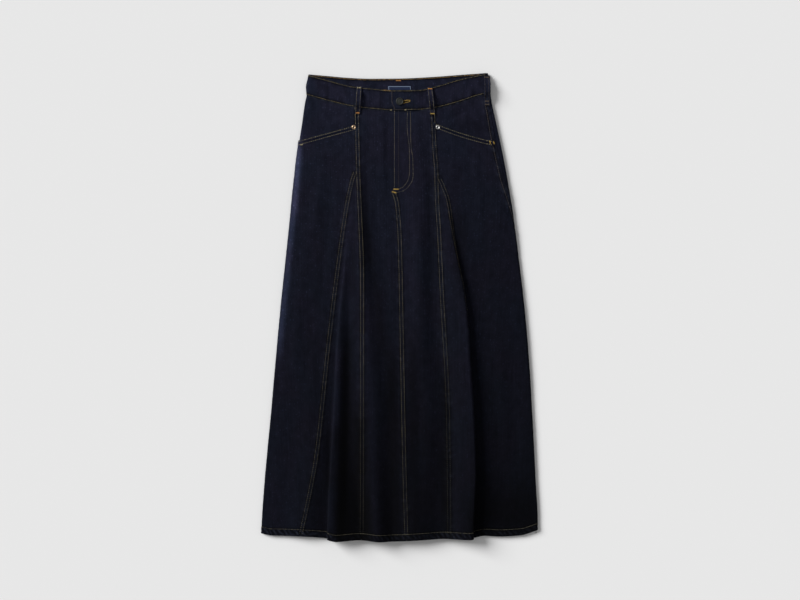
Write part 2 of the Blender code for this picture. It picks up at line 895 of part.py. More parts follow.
def right_band_level(row, around, below):
    start, end = RIGHT_BAND_SINK
    return BAND_PROUD - LAP_SHIFT * smooth((around - start) / (end - start))


def left_band_level(row, around, below):
    start, end = LEFT_BAND_SINK
    return BAND_PROUD + LAP_SHIFT * (1 - smooth((around - start) / (end - start)))


def back_band_level(row, around, below):
    return BAND_PROUD


def at_place(across):
    """A straight line down the front, as a mark."""
    return lambda below: section(below).round_at(np.full(np.shape(below), float(across)))


tab_line = column(TAB_END, 1)


def tab_end(below):
    return section(below).round_at(tab_line(below))


def band(name, start, end, columns, level):
    return lay_cloth(name, start, end, columns, BAND_ROWS, band_drop, level, band_wall, denim)


band("waistband_front_right", right_side_seam, at_place(UNDERLAP_EDGE), 20, right_band_level)
left_band = band("waistband_front_left", tab_end, left_side_seam, 20, left_band_level)


band("waistband_back", left_side_seam, right_side_seam_by_left, 32, back_band_level)


# The tack button's shank goes through the eyelet of the buttonhole and stands on the right band
def cutter(name):
    """Marks the newest object as a cutter of the left band."""
    obj = bpy.context.object
    obj.name = name
    obj.hide_render = True
    obj.display_type = "WIRE"
    for collection in list(obj.users_collection):
        collection.objects.unlink(obj)
    cutters.objects.link(obj)
    cut = left_band.modifiers.new(name, "BOOLEAN")
    cut.operation = "DIFFERENCE"
    cut.object = obj
    return obj


button_points, button_out = face(np.array([BUTTON_ACROSS]), np.array([BUTTON_BELOW]))
button_place = button_points[0]
button_face = BAND_PROUD + LAP_SHIFT
bpy.ops.mesh.primitive_cylinder_add(
    vertices=EYELET_SIDES, radius=EYELET_RADIUS * MM, depth=CUT_DEPTH * MM,
)
cutter("eyelet").location = Vector(button_place) * MM
bpy.ops.mesh.primitive_cube_add(size=1.0)
slit = cutter("buttonhole_slit")
for corner in slit.data.vertices:
    if corner.co.x > 0:
        corner.co.y *= SLIT_HALF[1] / SLIT_HALF[0]
slit.scale = ((SLIT_LENGTH - SLIT_START) * MM, 2 * SLIT_HALF[0] * MM, CUT_DEPTH * MM)
slit.rotation_euler.z = SLIT_TILT
along = Vector((math.cos(SLIT_TILT), math.sin(SLIT_TILT), 0.0)) * (SLIT_START + SLIT_LENGTH) / 2
slit.location = (Vector(button_place) + along + Vector((0.0, SLIT_OFFSET, 0.0))) * MM

under_button = BAND_PROUD - LAP_SHIFT + SEAM_GAP
seat = button_face + LAYER_GAP
button_profile = [(BUTTON_RADIUS * out, seat + BUTTON_HEIGHT * up) for out, up in BUTTON_HEAD]
button_profile += [(SHANK_RADIUS, seat), (SHANK_RADIUS, under_button), (0.0, under_button)]
turned("waist_button", button_profile, button_place, button_out[0], dark_metal)

rivet_profile = [(RIVET_RADIUS * out, LAYER_GAP + RIVET_HEIGHT * up) for out, up in RIVET_HEAD]
for name, (across, below) in RIVETS.items():
    rivet_points, rivet_out = face(np.array([across]), np.array([below]))
    metal = pale_metal if across > 0 else copper_metal
    turned(name, rivet_profile, rivet_points[0], rivet_out[0], metal)


# Belt loops: sewn down at both ends, standing off the band between them
LOOP_STEPS = (0, 0.06, 0.11, 0.16, 0.21, 0.26, 0.31, 0.4, 0.5, 0.6, 0.65, 0.7, 0.75, 0.8, 0.86, 0.93, 1)


def belt_loop(name, top_across, top_below, bottom_across, bottom_below):
    length = bottom_below - top_below

    def middle(below):
        share = (below - top_below) / length
        return top_across + (bottom_across - top_across) * share

    def side(offset):
        return lambda below: section(below).round_at(middle(below) + offset)

    def level(row, around, below):
        share = (below - top_below) / length
        start, full, held, end = LOOP_STAND
        stand = smooth((share - start) / (full - start)) * (1 - smooth((share - held) / (end - held)))
        on_band = 1 - smooth((below - waist_seam_edge(around) + BAND_EDGE) / BAND_EDGE)
        rest = BAND_PROUD * on_band + LAYER_GAP
        return rest + LOOP_STAND_OFF * stand + LOOP_WALL

    rows = [top_below + share * length for share in LOOP_STEPS]
    half_width = (LOOP_WIDTH + SEAM_GAP) / 2
    return lay_cloth(
        name, side(-half_width), side(half_width), 2, rows, straight_drop, level,
        lambda row: LOOP_WALL, denim,
    )


for name, (top_across, top_below, bottom_across, bottom_below) in LOOPS.items():
    belt_loop(name, top_across, top_below, bottom_across, bottom_below)


# Belt loops and the label that lie flat on the back
def flat_piece(name, first, last, top, bottom, level, wall, material):
    def mark(across):
        return lambda below: section(below).on_back(np.full(np.shape(below), float(across)), 1)

    rows = [top + (bottom - top) * share for share in (0, 0.5, 1)]
    return lay_cloth(
        name, mark(first + SEAM_GAP / 2), mark(last - SEAM_GAP / 2), 3, rows, straight_drop,
        lambda row, around, below: level, lambda row: wall, material,
    )


for name, (across, top, bottom) in FLAT_LOOPS.items():
    half_width = LOOP_WIDTH / 2
    flat_piece(
        name, across + half_width, across - half_width, top, bottom, BACK_LIFT, FLAT_LOOP_WALL, denim,
    )
label_level = -(BAND_WALL - BAND_PROUD + SEAM_GAP)
flat_piece(
    "waist_label", LABEL_ACROSS[1], LABEL_ACROSS[0], LABEL_BELOW[0], LABEL_BELOW[1],
    label_level, LABEL_WALL, label_weave,
)
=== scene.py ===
# A long denim skirt, laid on its back with its folds as they fell: the looks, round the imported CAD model.
#
# Sides are the wearer's: the right side is at -X and the left side at +X. The waist is towards +Y, the
# hem towards -Y, and the back lies on Z = 0. Tables and named sizes are in millimetres, as in the CAD.
import math

import bpy
import numpy as np
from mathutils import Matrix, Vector


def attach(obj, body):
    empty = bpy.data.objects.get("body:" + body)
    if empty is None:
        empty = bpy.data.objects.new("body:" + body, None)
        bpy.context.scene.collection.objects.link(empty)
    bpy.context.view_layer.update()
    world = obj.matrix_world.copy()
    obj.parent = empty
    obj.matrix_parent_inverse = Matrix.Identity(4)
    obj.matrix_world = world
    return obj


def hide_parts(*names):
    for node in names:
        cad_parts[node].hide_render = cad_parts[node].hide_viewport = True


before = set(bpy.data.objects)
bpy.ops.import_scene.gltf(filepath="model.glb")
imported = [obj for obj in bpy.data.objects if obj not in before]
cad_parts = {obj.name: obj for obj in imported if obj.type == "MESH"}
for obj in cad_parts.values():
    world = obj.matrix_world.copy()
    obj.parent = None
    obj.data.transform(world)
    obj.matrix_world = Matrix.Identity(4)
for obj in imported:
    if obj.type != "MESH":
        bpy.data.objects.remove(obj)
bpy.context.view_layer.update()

# Centre front panels
# Two tall panels of dark denim, sewn together down the middle. At the top the wearer's left one laps
# over the right one and hides the zip, and a curved double line of stitches holds the flap down.
MM = 0.001
LENGTH = 935.0
CLOTH = 1.3
SEAM_GAP = 0.3
LAYER_GAP = 0.4
HEM_BAND = 13.5
HEM_WALL = 2.6
HEM_PROUD = 0.5
HEM_STEP = 1.2
WAIST_ROW = 75.0
HEM_ROW = 930.0
BAND_MIDDLE = 60.0

# The back waistband lies this high, on its belt loops, down to here, and then sinks over this length
BACK_LIFT = 2.1
BACK_LIFT_END = 64.0
BACK_LIFT_FADE = 40.0

# Outline: places across of the right and the left edge, at distances below the top
OUTLINE = (
    # below, right edge, left edge
    (0, -180.5, 176.5),
    (14, -183.0, 180.5),
    (30, -186.0, 182.0),
    (45, -185.2, 182.8),
    (60, -188.8, 185.2),
    (95, -194.8, 192.8),
    (135, -201.6, 201.2),
    (175, -206.8, 209.4),
    (255, -215.6, 223.4),
    (335, -223.6, 234.2),
    (455, -236.2, 248.8),
    (575, -247.8, 259.6),
    (695, -258.5, 266.8),
    (815, -269.8, 272.8),
    (895, -275.4, 276.8),
    (930, -277.0, 276.0),
)

# Height of the side edges, from the surface to the front face
EDGE_HEIGHT = (
    # below, height
    (0, 7.6),
    (64, 7.6),
    (120, 6.4),
    (930, 6.0),
)

# Waistband: its top edge and the seam under it, across the front
FRONT_WAIST = (
    # across, top edge, waist seam
    (-183, 4.0, 46.5),
    (-141, 15.2, 58.2),
    (-93, 27.5, 69.4),
    (-49, 32.2, 74.8),
    (-15, 35.4, 77.0),
    (33, 35.0, 76.6),
    (81, 25.0, 70.4),
    (118, 13.5, 60.4),
    (166, 3.5, 45.2),
    (182, 0.8, 43.0),
)

# Top edge of the back waistband, which dips less
BACK_WAIST = (
    # across, top edge
    (-182, 3.6),
    (-149, 6.5),
    (-99, 10.8),
    (-59, 12.4),
    (0, 12.0),
    (71, 8.6),
    (121, 4.8),
    (182, 0.5),
)
BACK_BAND = 39.5

# Bottom edge of the hem
HEM = (
    # across, below
    (-277, 920.0),
    (-255, 924.5),
    (-200, 925.5),
    (-146, 930.0),
    (-125, 934.5),
    (-80, 932.5),
    (-30, 935.0),
    (60, 931.5),
    (95, 930.0),
    (140, 930.5),
    (170, 925.0),
    (200, 926.5),
    (240, 924.5),
    (276, 914.0),
)

# Seams of the front that show all the way: places across, at distances below the top
RIGHT_PRINCESS = (
    # below, across
    (75, -85.0),
    (196, -82.0),
    (424, -74.0),
    (684, -74.0),
    (930, -75.0),
)
LEFT_PRINCESS = (
    # below, across
    (75, 67.0),
    (150, 70.0),
    (196, 73.5),
    (254, 75.2),
    (314, 79.0),
    (424, 84.0),
    (684, 97.0),
    (930, 100.0),
)
RIGHT_GORE_SEAM = (
    # below, across
    (190, -84.5),
    (214, -93.5),
    (268, -105.2),
    (372, -120.4),
    (536, -140.6),
    (762, -165.0),
    (836, -178.0),
    (930, -198.0),
)
CENTRE_FRONT = (
    # below, across: the fly's edge, then the centre seam
    (75, -10.6),
    (236, -10.6),
    (262, -4.5),
    (334, 0.8),
    (536, 5.0),
    (762, 9.5),
    (930, 14.0),
)
GORE_TOP = 190.0
GORE_BLEND = 12.0

# Side seams, as a distance round from the outermost edge, towards the back if it is above zero
RIGHT_SIDE_SEAM = (
    # below, distance round
    (0, 4.0),
    (930, 7.0),
)
LEFT_SIDE_SEAM = (
    # below, distance round
    (0, -11.0),
    (75, -14.0),
    (135, -16.5),
    (205, -14.5),
    (255, -7.0),
    (300, 0.0),
    (400, 5.0),
    (930, 7.0),
)

# Folds with a steep face. The right gore stands up as a ridge, and the left gore laps outwards
# over the side panel. The brow is the fold's outermost line, and the turn is how far its face bends.
BEND_RADIUS = 4.0
RIDGE = (
    # below, brow across, height of the face, turn in degrees
    (75, -93, 0.0, 4),
    (268, -100, 0.0, 8),
    (350, -106, 0.8, 25),
    (388, -110, 2.0, 36),
    (470, -119, 5.0, 56),
    (536, -124, 7.5, 70),
    (650, -130, 11.0, 82),
    (762, -136, 15.0, 90),
    (860, -141, 18.8, 94),
    (930, -143, 20.4, 96),
)
LAP = (
    # below, brow across, height of the face, turn in degrees
    (75, 74, 0.0, 4),
    (190, 74, 0.6, 10),
    (230, 88, 1.6, 24),
    (256, 97, 2.6, 36),
    (300, 104, 5.0, 60),
    (344, 111, 8.5, 90),
    (436, 129, 12.5, 112),
    (492, 136, 14.5, 120),
    (573, 142, 16.5, 126),
    (725, 151, 19.0, 130),
    (800, 153, 20.0, 130),
    (854, 151, 20.5, 130),
    (930, 147, 21.0, 128),
)
SEAM_ON_LAP = 0.5
LEAST_FACE = 0.02

# Softer lines of the front, each a crest, a hollow or a level stretch. Places across and heights are
# given at the waist, hip, knee, calf and hem.
LINE_ROWS = (75, 200, 450, 700, 930)
RIGHT_OF_RIDGE = {
    # name: (across, height) at the waist, hip, knee, calf and hem
    "side panel": ((-140, 7.8), (-152, 6.6), (-188, 6.5), (-214, 6.5), (-240, 6.3)),
    "gore seam": ((-112, 8.2), (-116, 6.8), (-142, 7.0), (-160, 8.6), (-192, 12.4)),
}
RIDGE_FOOT = (8.6, 6.9, 6.4, 6.2, 6.2)
BETWEEN_FOLDS = {
    # name: (across, height) at the waist, hip, knee, calf and hem
    "ridge hollow": ((-88, 8.6), (-88, 7.1), (-101, 8.4), (-98, 10.4), (-76, 15.3)),
    "right crest": ((-78, 8.8), (-78, 9.6), (-73, 14.4), (-60, 20.2), (-43, 26.7)),
    "right hollow": ((-55, 9.0), (-60, 6.8), (-48, 8.6), (-17, 13.5), (-12, 16.8)),
    "centre": ((-5, 9.4), (-1, 8.2), (3, 9.8), (6, 14.2), (12, 19.2)),
    "left crest": ((35, 9.4), (38, 11.0), (42, 14.2), (46, 15.3), (28, 20.0)),
    "left hollow": ((60, 9.0), (62, 7.2), (68, 8.6), (86, 9.7), (84, 12.7)),
}
LAP_FOOT = (8.8, 7.0, 6.2, 6.2, 6.2)
LEFT_OF_LAP = {
    # name: (across, height) at the waist, hip, knee, calf and hem
    "side panel": ((130, 7.8), (150, 6.6), (192, 6.5), (206, 6.5), (214, 6.3)),
}


def smooth(share):
    """A soft step from 0 to 1."""
    share = np.clip(share, 0.0, 1.0)
    return share * share * (3.0 - 2.0 * share)


def bell(off, width):
    """1 in the middle of a line, and less on both sides of it."""
    return np.exp(-((off / width) ** 2))


def curve(places, values):
    """A smooth curve through a table's values that never swings past them."""
    places = np.array(places, float)
    values = np.array(values, float)
    steps = np.diff(places)
    rises = np.diff(values) / steps
    slopes = np.zeros(len(places))
    slopes[0] = rises[0]
    slopes[-1] = rises[-1]
    before, after = rises[:-1], rises[1:]
    steady = before * after > 0
    slopes[1:-1][steady] = (2 * before * after / (before + after + 1e-12))[steady]

    def value(at):
        at = np.clip(at, places[0], places[-1])
        i = np.clip(np.searchsorted(places, at, side="right") - 1, 0, len(steps) - 1)
        f = (at - places[i]) / steps[i]
        start = values[i] * (1 + 2 * f) * (1 - f) ** 2 + slopes[i] * steps[i] * f * (1 - f) ** 2
        end = values[i + 1] * f * f * (3 - 2 * f) + slopes[i + 1] * steps[i] * f * f * (f - 1)
        return start + end

    return value


def column(table, number):
    """The curve of one column of a table whose first column is the place."""
    return curve([row[0] for row in table], [row[number] for row in table])


def line(points):
    """The curves of one soft line's place across and height, from the waist to the hem."""
    across = curve(LINE_ROWS, [point[0] for point in points])
    height = curve(LINE_ROWS, [point[1] for point in points])
    return across, height


right_edge = column(OUTLINE, 1)
left_edge = column(OUTLINE, 2)
edge_height = column(EDGE_HEIGHT, 1)
front_top = column(FRONT_WAIST, 1)
front_seam = column(FRONT_WAIST, 2)
back_top = column(BACK_WAIST, 1)
hem_line = column(HEM, 1)
right_princess_line = column(RIGHT_PRINCESS, 1)
left_princess_line = column(LEFT_PRINCESS, 1)
right_gore_line = column(RIGHT_GORE_SEAM, 1)
centre_line = column(CENTRE_FRONT, 1)
right_side_offset = column(RIGHT_SIDE_SEAM, 1)
left_side_offset = column(LEFT_SIDE_SEAM, 1)
ridge_foot_height = curve(LINE_ROWS, RIDGE_FOOT)
lap_foot_height = curve(LINE_ROWS, LAP_FOOT)
outer_right_lines = [line(points) for points in RIGHT_OF_RIDGE.values()]
middle_lines = [line(points) for points in BETWEEN_FOLDS.values()]
outer_left_lines = [line(points) for points in LEFT_OF_LAP.values()]


class Fold:
    """The steep face of a fold at some rows: a round bend, a straight and a second bend back."""

    def __init__(self, table, below):
        self.brow = column(table, 1)(below)
        self.height = np.maximum(column(table, 2)(below), LEAST_FACE)
        self.turn = np.radians(column(table, 3)(below))
        fall = 1.0 - np.cos(self.turn)
        self.radius = np.minimum(BEND_RADIUS, 0.5 * self.height / fall)
        self.straight = (self.height - 2 * self.radius * fall) / np.sin(self.turn)
        self.reach = 2 * self.radius * np.sin(self.turn) + self.straight * np.cos(self.turn)
        self.length = 2 * self.radius * self.turn + self.straight
        half_face = self.radius * np.sin(self.turn) + SEAM_ON_LAP * self.straight * np.cos(self.turn)
        upright = self.turn >= math.radians(90)
        self.brow_reach = np.where(upright, self.radius, half_face)

    def at(self, distance):
        """How far outwards and how far down the face goes, this far round from its crest."""
        first = np.clip(distance / self.radius, 0.0, self.turn)
        level = np.clip(distance - self.radius * self.turn, 0.0, self.straight)
        second = (distance - self.radius * self.turn - self.straight) / self.radius
        left = self.turn - np.clip(second, 0.0, self.turn)
        out = self.radius * (np.sin(first) + np.sin(self.turn) - np.sin(left))
        down = self.radius * (1 - np.cos(first) + np.cos(left) - np.cos(self.turn))
        return out + level * np.cos(self.turn), down + level * np.sin(self.turn)


class Section:
    """Everything about the flattened tube at some distances below the top."""

    def __init__(self, below):
        self.below = below
        self.floor = BACK_LIFT * (1 - smooth((below - BACK_LIFT_END) / BACK_LIFT_FADE))
        self.top = edge_height(below)
        self.radius = (self.top - self.floor) / 2
        self.right = right_edge(below) + self.radius
        self.left = left_edge(below) - self.radius
        self.ridge = Fold(RIDGE, below)
        self.lap = Fold(LAP, below)
        self.ridge_crest = self.ridge.brow + self.ridge.brow_reach
        self.lap_crest = self.lap.brow - self.lap.brow_reach
        self.ridge_foot = self.ridge_crest - self.ridge.reach
        self.lap_foot = self.lap_crest + self.lap.reach
        # Distances round at which the side turns begin
        self.right_turn = self.round_at(self.right)
        self.left_turn = self.round_at(self.left)
        self.flat_back = self.left - self.right
        self.whole = self.left_turn - self.right_turn + 2 * math.pi * self.radius + self.flat_back

    def round_at(self, across):
        """The distance round of a place across the front, measured from the middle."""
        right = across - self.ridge_foot + self.ridge_crest - self.ridge.length
        left = across - self.lap_foot + self.lap_crest + self.lap.length
        beyond_left = np.where(across > self.lap_crest, np.maximum(left, self.lap_crest), across)
        return np.where(across < self.ridge_crest, np.minimum(right, self.ridge_crest), beyond_left)

    def relief(self, across, start, lines, end):
        """The height at a place across, eased from one soft line to the next."""
        knots = [start, *((line_across(self.below), level(self.below)) for line_across, level in lines), end]
        height = start[1]
        for (near, low), (far, high) in zip(knots[:-1], knots[1:]):
            height = height + (high - low) * smooth((across - near) / (far - near))
        return height

    def place(self, around):
        """Place across, height, and share of the front, at distances round."""
        past_back = around > self.left_turn + math.pi * self.radius + self.flat_back
        around = np.where(past_back, around - self.whole, around)
        ridge_out, ridge_down = self.ridge.at(np.maximum(self.ridge_crest - around, 0.0))
        lap_out, lap_down = self.lap.at(np.maximum(around - self.lap_crest, 0.0))
        past_ridge = np.maximum(self.ridge_crest - self.ridge.length - around, 0.0)
        past_lap = np.maximum(around - self.lap_crest - self.lap.length, 0.0)
        across = np.clip(around, self.ridge_crest, self.lap_crest)
        across = across - ridge_out - past_ridge + lap_out + past_lap
        on_ridge = (around < self.ridge_crest) & (past_ridge <= 0)
        on_lap = (around > self.lap_crest) & (past_lap <= 0)
        ridge_low, lap_low = ridge_foot_height(self.below), lap_foot_height(self.below)
        ridge_top, lap_top = ridge_low + self.ridge.height, lap_low + self.lap.height
        middle = self.relief(across, (self.ridge_crest, ridge_top), middle_lines, (self.lap_crest, lap_top))
        right = self.relief(across, (self.right, self.top), outer_right_lines, (self.ridge_foot, ridge_low))
        left = self.relief(across, (self.lap_foot, lap_low), outer_left_lines, (self.left, self.top))
        height = np.where(past_ridge > 0, right, middle)
        height = np.where(past_lap > 0, left, height)
        height = np.where(on_ridge, ridge_top - ridge_down, height)
        height = np.where(on_lap, lap_top - lap_down, height)

        beyond_right = np.maximum(self.right_turn - around, 0.0)
        beyond_left = np.maximum(around - self.left_turn, 0.0)
        beyond = beyond_right + beyond_left
        angle = np.clip(beyond / self.radius, 0.0, math.pi)
        back = np.maximum(beyond - math.pi * self.radius, 0.0)
        outwards = self.radius * np.sin(angle) - back
        turned = self.floor + self.radius * (1 + np.cos(angle))
        height = np.where(beyond > 0, turned, height)
        across = np.where(beyond_right > 0, self.right - outwards, across)
        across = np.where(beyond_left > 0, self.left + outwards, across)
        return across, height, (1 + np.cos(angle)) / 2

    def right_extreme(self):
        return self.right_turn - self.radius * math.pi / 2

    def left_extreme(self):
        return self.left_turn + self.radius * math.pi / 2

    def on_back(self, across, side):
        """The distance round of a place on the back, reached by the right (-1) or left (+1) side."""
        flat = self.left - across if side > 0 else across - self.right
        turn = self.left_turn if side > 0 else self.right_turn
        return turn + side * (math.pi * self.radius + flat)


def section(below):
    return Section(np.asarray(below, float))


def face(around, below):
    """Points of the plain outer face in millimetres, and the directions out of it."""
    def point(a, b):
        across, height, _ = section(b).place(a)
        return np.stack([across, LENGTH / 2 - b, height], axis=-1)

    step = 0.05
    here = point(around, below)
    round_it = point(around + step, below) - point(around - step, below)
    down_it = point(around, below + step) - point(around, below - step)
    out = np.cross(down_it, round_it)
    out /= np.linalg.norm(out, axis=-1, keepdims=True)
    return here, out


# Distances round that are looked up, as (start, end, step), and how often a place is worked out anew
ROUND_RANGE = (-650.0, 1300.0, 0.5)
SETTLE_STEPS = 6


def edge_round(edge, guess):
    """An edge of the cloth that depends on the place across, as a curve of the distance round."""
    around = np.arange(*ROUND_RANGE)
    below = np.full(len(around), float(guess))
    for _ in range(SETTLE_STEPS):
        across, _, front = section(below).place(around)
        below = edge(across, front)
    return lambda at: np.interp(at, around, below)


def waist_seam(across, front):
    return front * front_seam(across) + (1 - front) * (back_top(across) + BACK_BAND)


waist_seam_edge = edge_round(waist_seam, 60)
hem_edge = edge_round(lambda across, front: hem_line(across), HEM_ROW)


def mark_of(line_across):
    """A line down the front, given by its places across, as a mark: distances round."""
    return lambda below: section(below).round_at(line_across(below))


right_princess = mark_of(right_princess_line)
left_princess = mark_of(left_princess_line)
centre_front = mark_of(centre_line)


def above_gore(below):
    """1 where the side panels meet the princess seams, above the gores, and 0 beside the gores."""
    return 1 - smooth((below - GORE_TOP + GORE_BLEND) / GORE_BLEND)


def right_gore_seam(below):
    """The seam of the right side panel: the gore's below the gore's top, the princess seam's above."""
    gore = mark_of(right_gore_line)(below)
    return gore + (right_princess(below) - gore) * above_gore(below)


def left_gore_seam(below):
    """The seam of the left side panel, in the middle of the lap's face, so the lap hides it."""
    here = section(below)
    gore = here.lap_crest + here.lap.radius * here.lap.turn + SEAM_ON_LAP * here.lap.straight
    return gore + (left_princess(below) - gore) * above_gore(below)


def right_side_seam(below):
    return section(below).right_extreme() - right_side_offset(below)


def left_side_seam(below):
    return section(below).left_extreme() + left_side_offset(below)


CENTRE_BACK = -2.0


def back_mark(across, side=1):
    """A straight line down the back, as a mark, reached by the right (-1) or left (+1) side."""
    return lambda below: section(below).on_back(np.full(np.shape(below), float(across)), side)


back_seam_by_right = back_mark(CENTRE_BACK, -1)
back_seam_by_left = back_mark(CENTRE_BACK)


def mark_at(mark, below):
    """The distance round of a mark, this far below the top."""
    return float(mark(np.array([below]))[0])


# Every seam is pressed open and sewn down by a line of stitches on each side, so it stands up a little
# and its cloth is puckered. Slant is how far a pucker runs on for each millimetre away from the seam.
STITCH_FROM_SEAM = 3.0
SEAM_RISE = 0.55
SEAM_HALF = 4.4
SEAM_FALL = 2.6
GROOVE = 0.30
GROOVE_HALF = 0.75
PUCKER = 0.45
PUCKER_REACH = 8.0
PUCKER_SIZE = 4.4
SLANT = 0.6
SIDES_APART = 3.0
# Painted shade along each seam and just outside its stitches
SEAM_SHADE_LINES = (
    # distance from the seam, half width, how dark
    (0.0, 1.3, 0.9),
    (4.9, 0.9, 0.7),
)
SEAM_ROWS = np.arange(40.0, 940.0, 1.0)
SEAMS = (
    # place round, from below, seed
    (right_princess, 60.0, 11),
    (left_princess, 60.0, 12),
    (centre_front, 238.0, 13),
    (right_gore_seam, 196.0, 14),
    (left_gore_seam, 205.0, 15),
    (right_side_seam, 40.0, 16),
    (left_side_seam, 40.0, 17),
    (back_seam_by_right, 40.0, 18),
    (back_seam_by_left, 40.0, 18),
)
seam_places = [mark(SEAM_ROWS) for mark, _, _ in SEAMS]


def wander(across, along, size_across, size_along, seed):
    """Soft uneven values from -1 to 1 that change over about these sizes."""
    dice = np.random.default_rng(seed).uniform(-1.0, 1.0, (64, 64))
    across, along = np.broadcast_arrays(across / size_across, along / size_along)
    i = np.floor(across).astype(int)
    j = np.floor(along).astype(int)
    over = smooth(across - i)
    down = smooth(along - j)
    near = dice[i % 64, j % 64] * (1 - over) + dice[(i + 1) % 64, j % 64] * over
    far = dice[i % 64, (j + 1) % 64] * (1 - over) + dice[(i + 1) % 64, (j + 1) % 64] * over
    return near * (1 - down) + far * down


def uneven(waves, across, along):
    """The sum of some wanders, each given as its height, its sizes and its seed."""
    return sum(height * wander(across, along, *sizes) for height, *sizes in waves)


def shade_beside(off, lines):
    """How much painted shade lies beside a seam or an edge, where each line has a distance, a width and a
    strength.
    """
    return sum(dark * bell(off - distance, width) for distance, width, dark in lines)


def seam_relief(around, below):
    """How far the seams raise the cloth here, how puckered it is, and how much painted shade lies beside
    them.
    """
    raised = np.zeros(np.shape(around))
    puckered = np.zeros(np.shape(around))
    groove_shade = np.zeros(np.shape(around))
    for places, (_, start, seed) in zip(seam_places, SEAMS):
        off = around - np.interp(below, SEAM_ROWS, places)
        away = np.abs(off)
        here = below > start
        ridge = SEAM_RISE * (1 - smooth((away - SEAM_HALF) / SEAM_FALL))
        groove = GROOVE * bell(away - STITCH_FROM_SEAM, GROOVE_HALF)
        pucker = wander(np.sign(off) * SIDES_APART, below + SLANT * away, 1.0, PUCKER_SIZE, seed)
        pucker = pucker * bell(away, PUCKER_REACH)
        raised += here * (ridge - groove + PUCKER * pucker)
        puckered += here * pucker
        groove_shade += here * shade_beside(away, SEAM_SHADE_LINES)
    return raised, puckered, groove_shade


# The hem is turned up twice and sewn down by one line, and washing has roped it into slanting ridges
HEM_STITCH = 13.4
ROPE = 1.0
ROPE_LENGTH = 10.0
ROPE_SLANT = 0.7
ROPE_DRIFTS = (
    # how far the ridges drift, sizes across and along, seed
    (5.0, 31.0, 1.0, 21),
    (2.6, 8.0, 1.0, 25),
)
ROPE_EVEN = 0.65
ROPE_UNEVEN = (
    # share, sizes across and along, seed
    (0.35, 23.0, 1.0, 22),
)
HEM_PUCKER = 0.45
HEM_PUCKER_SIZES = (8.0, 60.0, 23)
HEM_PUCKER_REACH = 16.0
# How dark the painted shade is beside the hem's stitches and at its edge
HEM_SHADE = 0.8
BESIDE_HEM_STITCH = 1.6

# Half widths of the painted shade beside the hem's stitches and at its edge
HEM_SHADE_HALVES = (0.9, 1.6)


def hem_relief(around, below):
    """How far the turned-up hem raises the cloth here, how roped it is, and how much painted shade lies
    beside its stitches and at its edge.
    """
    above_edge = hem_edge(around) - below
    in_band = 1 - smooth((above_edge - HEM_BAND + HEM_STEP / 2) / HEM_STEP)
    phase = (around + uneven(ROPE_DRIFTS, around, 0.0) + ROPE_SLANT * above_edge) / ROPE_LENGTH
    roping = np.sin(2 * math.pi * phase) * (ROPE_EVEN + uneven(ROPE_UNEVEN, around, 0.0))
    belly = np.sin(math.pi * np.clip(above_edge / HEM_BAND, 0.0, 1.0))
    roping = in_band * belly * roping
    groove = GROOVE * bell(above_edge - HEM_STITCH, GROOVE_HALF)
    reach = bell(np.maximum(above_edge - HEM_BAND, 0.0), HEM_PUCKER_REACH)
    pucker = (1 - in_band) * reach * wander(around, above_edge, *HEM_PUCKER_SIZES)
    beside = np.abs(above_edge - HEM_STITCH) - BESIDE_HEM_STITCH
    at_stitches, at_edge = HEM_SHADE_HALVES
    stitched = HEM_SHADE * (bell(beside, at_stitches) + bell(above_edge, at_edge))
    return HEM_PROUD * in_band + ROPE * roping - groove + HEM_PUCKER * pucker, roping, stitched


# Creases as the cloth lies: each runs from one place to the other and is highest or deepest halfway
CREASES = (
    # across, below, to across, to below, half width, height
    (96, 95, 140, 76, 4.5, -1.1),
    (104, 104, 172, 92, 6.0, 0.9),
    (-104, 92, -150, 84, 6.0, -0.8),
    (-96, 100, -172, 108, 7.0, 0.7),
    (-150, 150, -172, 330, 9.0, 0.9),
    (-132, 190, -150, 420, 7.0, -0.8),
    (-185, 330, -215, 620, 11.0, 0.9),
    (-205, 560, -235, 880, 12.0, -0.8),
    (-165, 470, -188, 760, 8.0, 0.7),
    (-60, 120, -52, 330, 7.0, 0.9),
    (-62, 190, -8, 560, 10.0, -1.3),
    (-46, 420, -38, 960, 13.0, 1.5),
    (-88, 330, -92, 640, 5.0, 0.8),
    (-104, 520, -110, 980, 10.0, -1.2),
    (22, 260, 24, 560, 7.0, -0.8),
    (52, 180, 60, 420, 6.0, 0.8),
    (8, 540, 14, 900, 9.0, 0.9),
    (42, 540, 46, 930, 11.0, -1.3),
    (118, 640, 122, 900, 6.0, 0.8),
    (112, 420, 120, 640, 5.0, -0.6),
    (150, 140, 168, 360, 9.0, 0.8),
    (120, 170, 146, 380, 7.0, -0.7),
    (190, 420, 214, 760, 11.0, 0.8),
    (225, 600, 240, 890, 10.0, -0.8),
)
WAVES = (
    # height, sizes across and along, seed
    (0.55, 34.0, 95.0, 31),
    (0.25, 15.0, 48.0, 32),
)
WAIST_CALM = 26.0


def stripe(across, below, ends, half):
    """How far along and how near the middle of a stripe this is: a share of its length, and 1 to 0."""
    start, start_below, end, end_below = ends
    over = end - start
    down = end_below - start_below
    length = math.hypot(over, down)
    share = ((across - start) * over + (below - start_below) * down) / length**2
    off = ((across - start) * down - (below - start_below) * over) / length
    return np.clip(share, 0.0, 1.0), bell(off, half)


def creased(across, below):
    """How far the listed creases raise the cloth here."""
    raised = np.zeros(np.shape(across))
    for *ends, half, rise in CREASES:
        share, near = stripe(across, below, ends, half)
        raised += rise * near * np.sin(math.pi * share)
    return raised
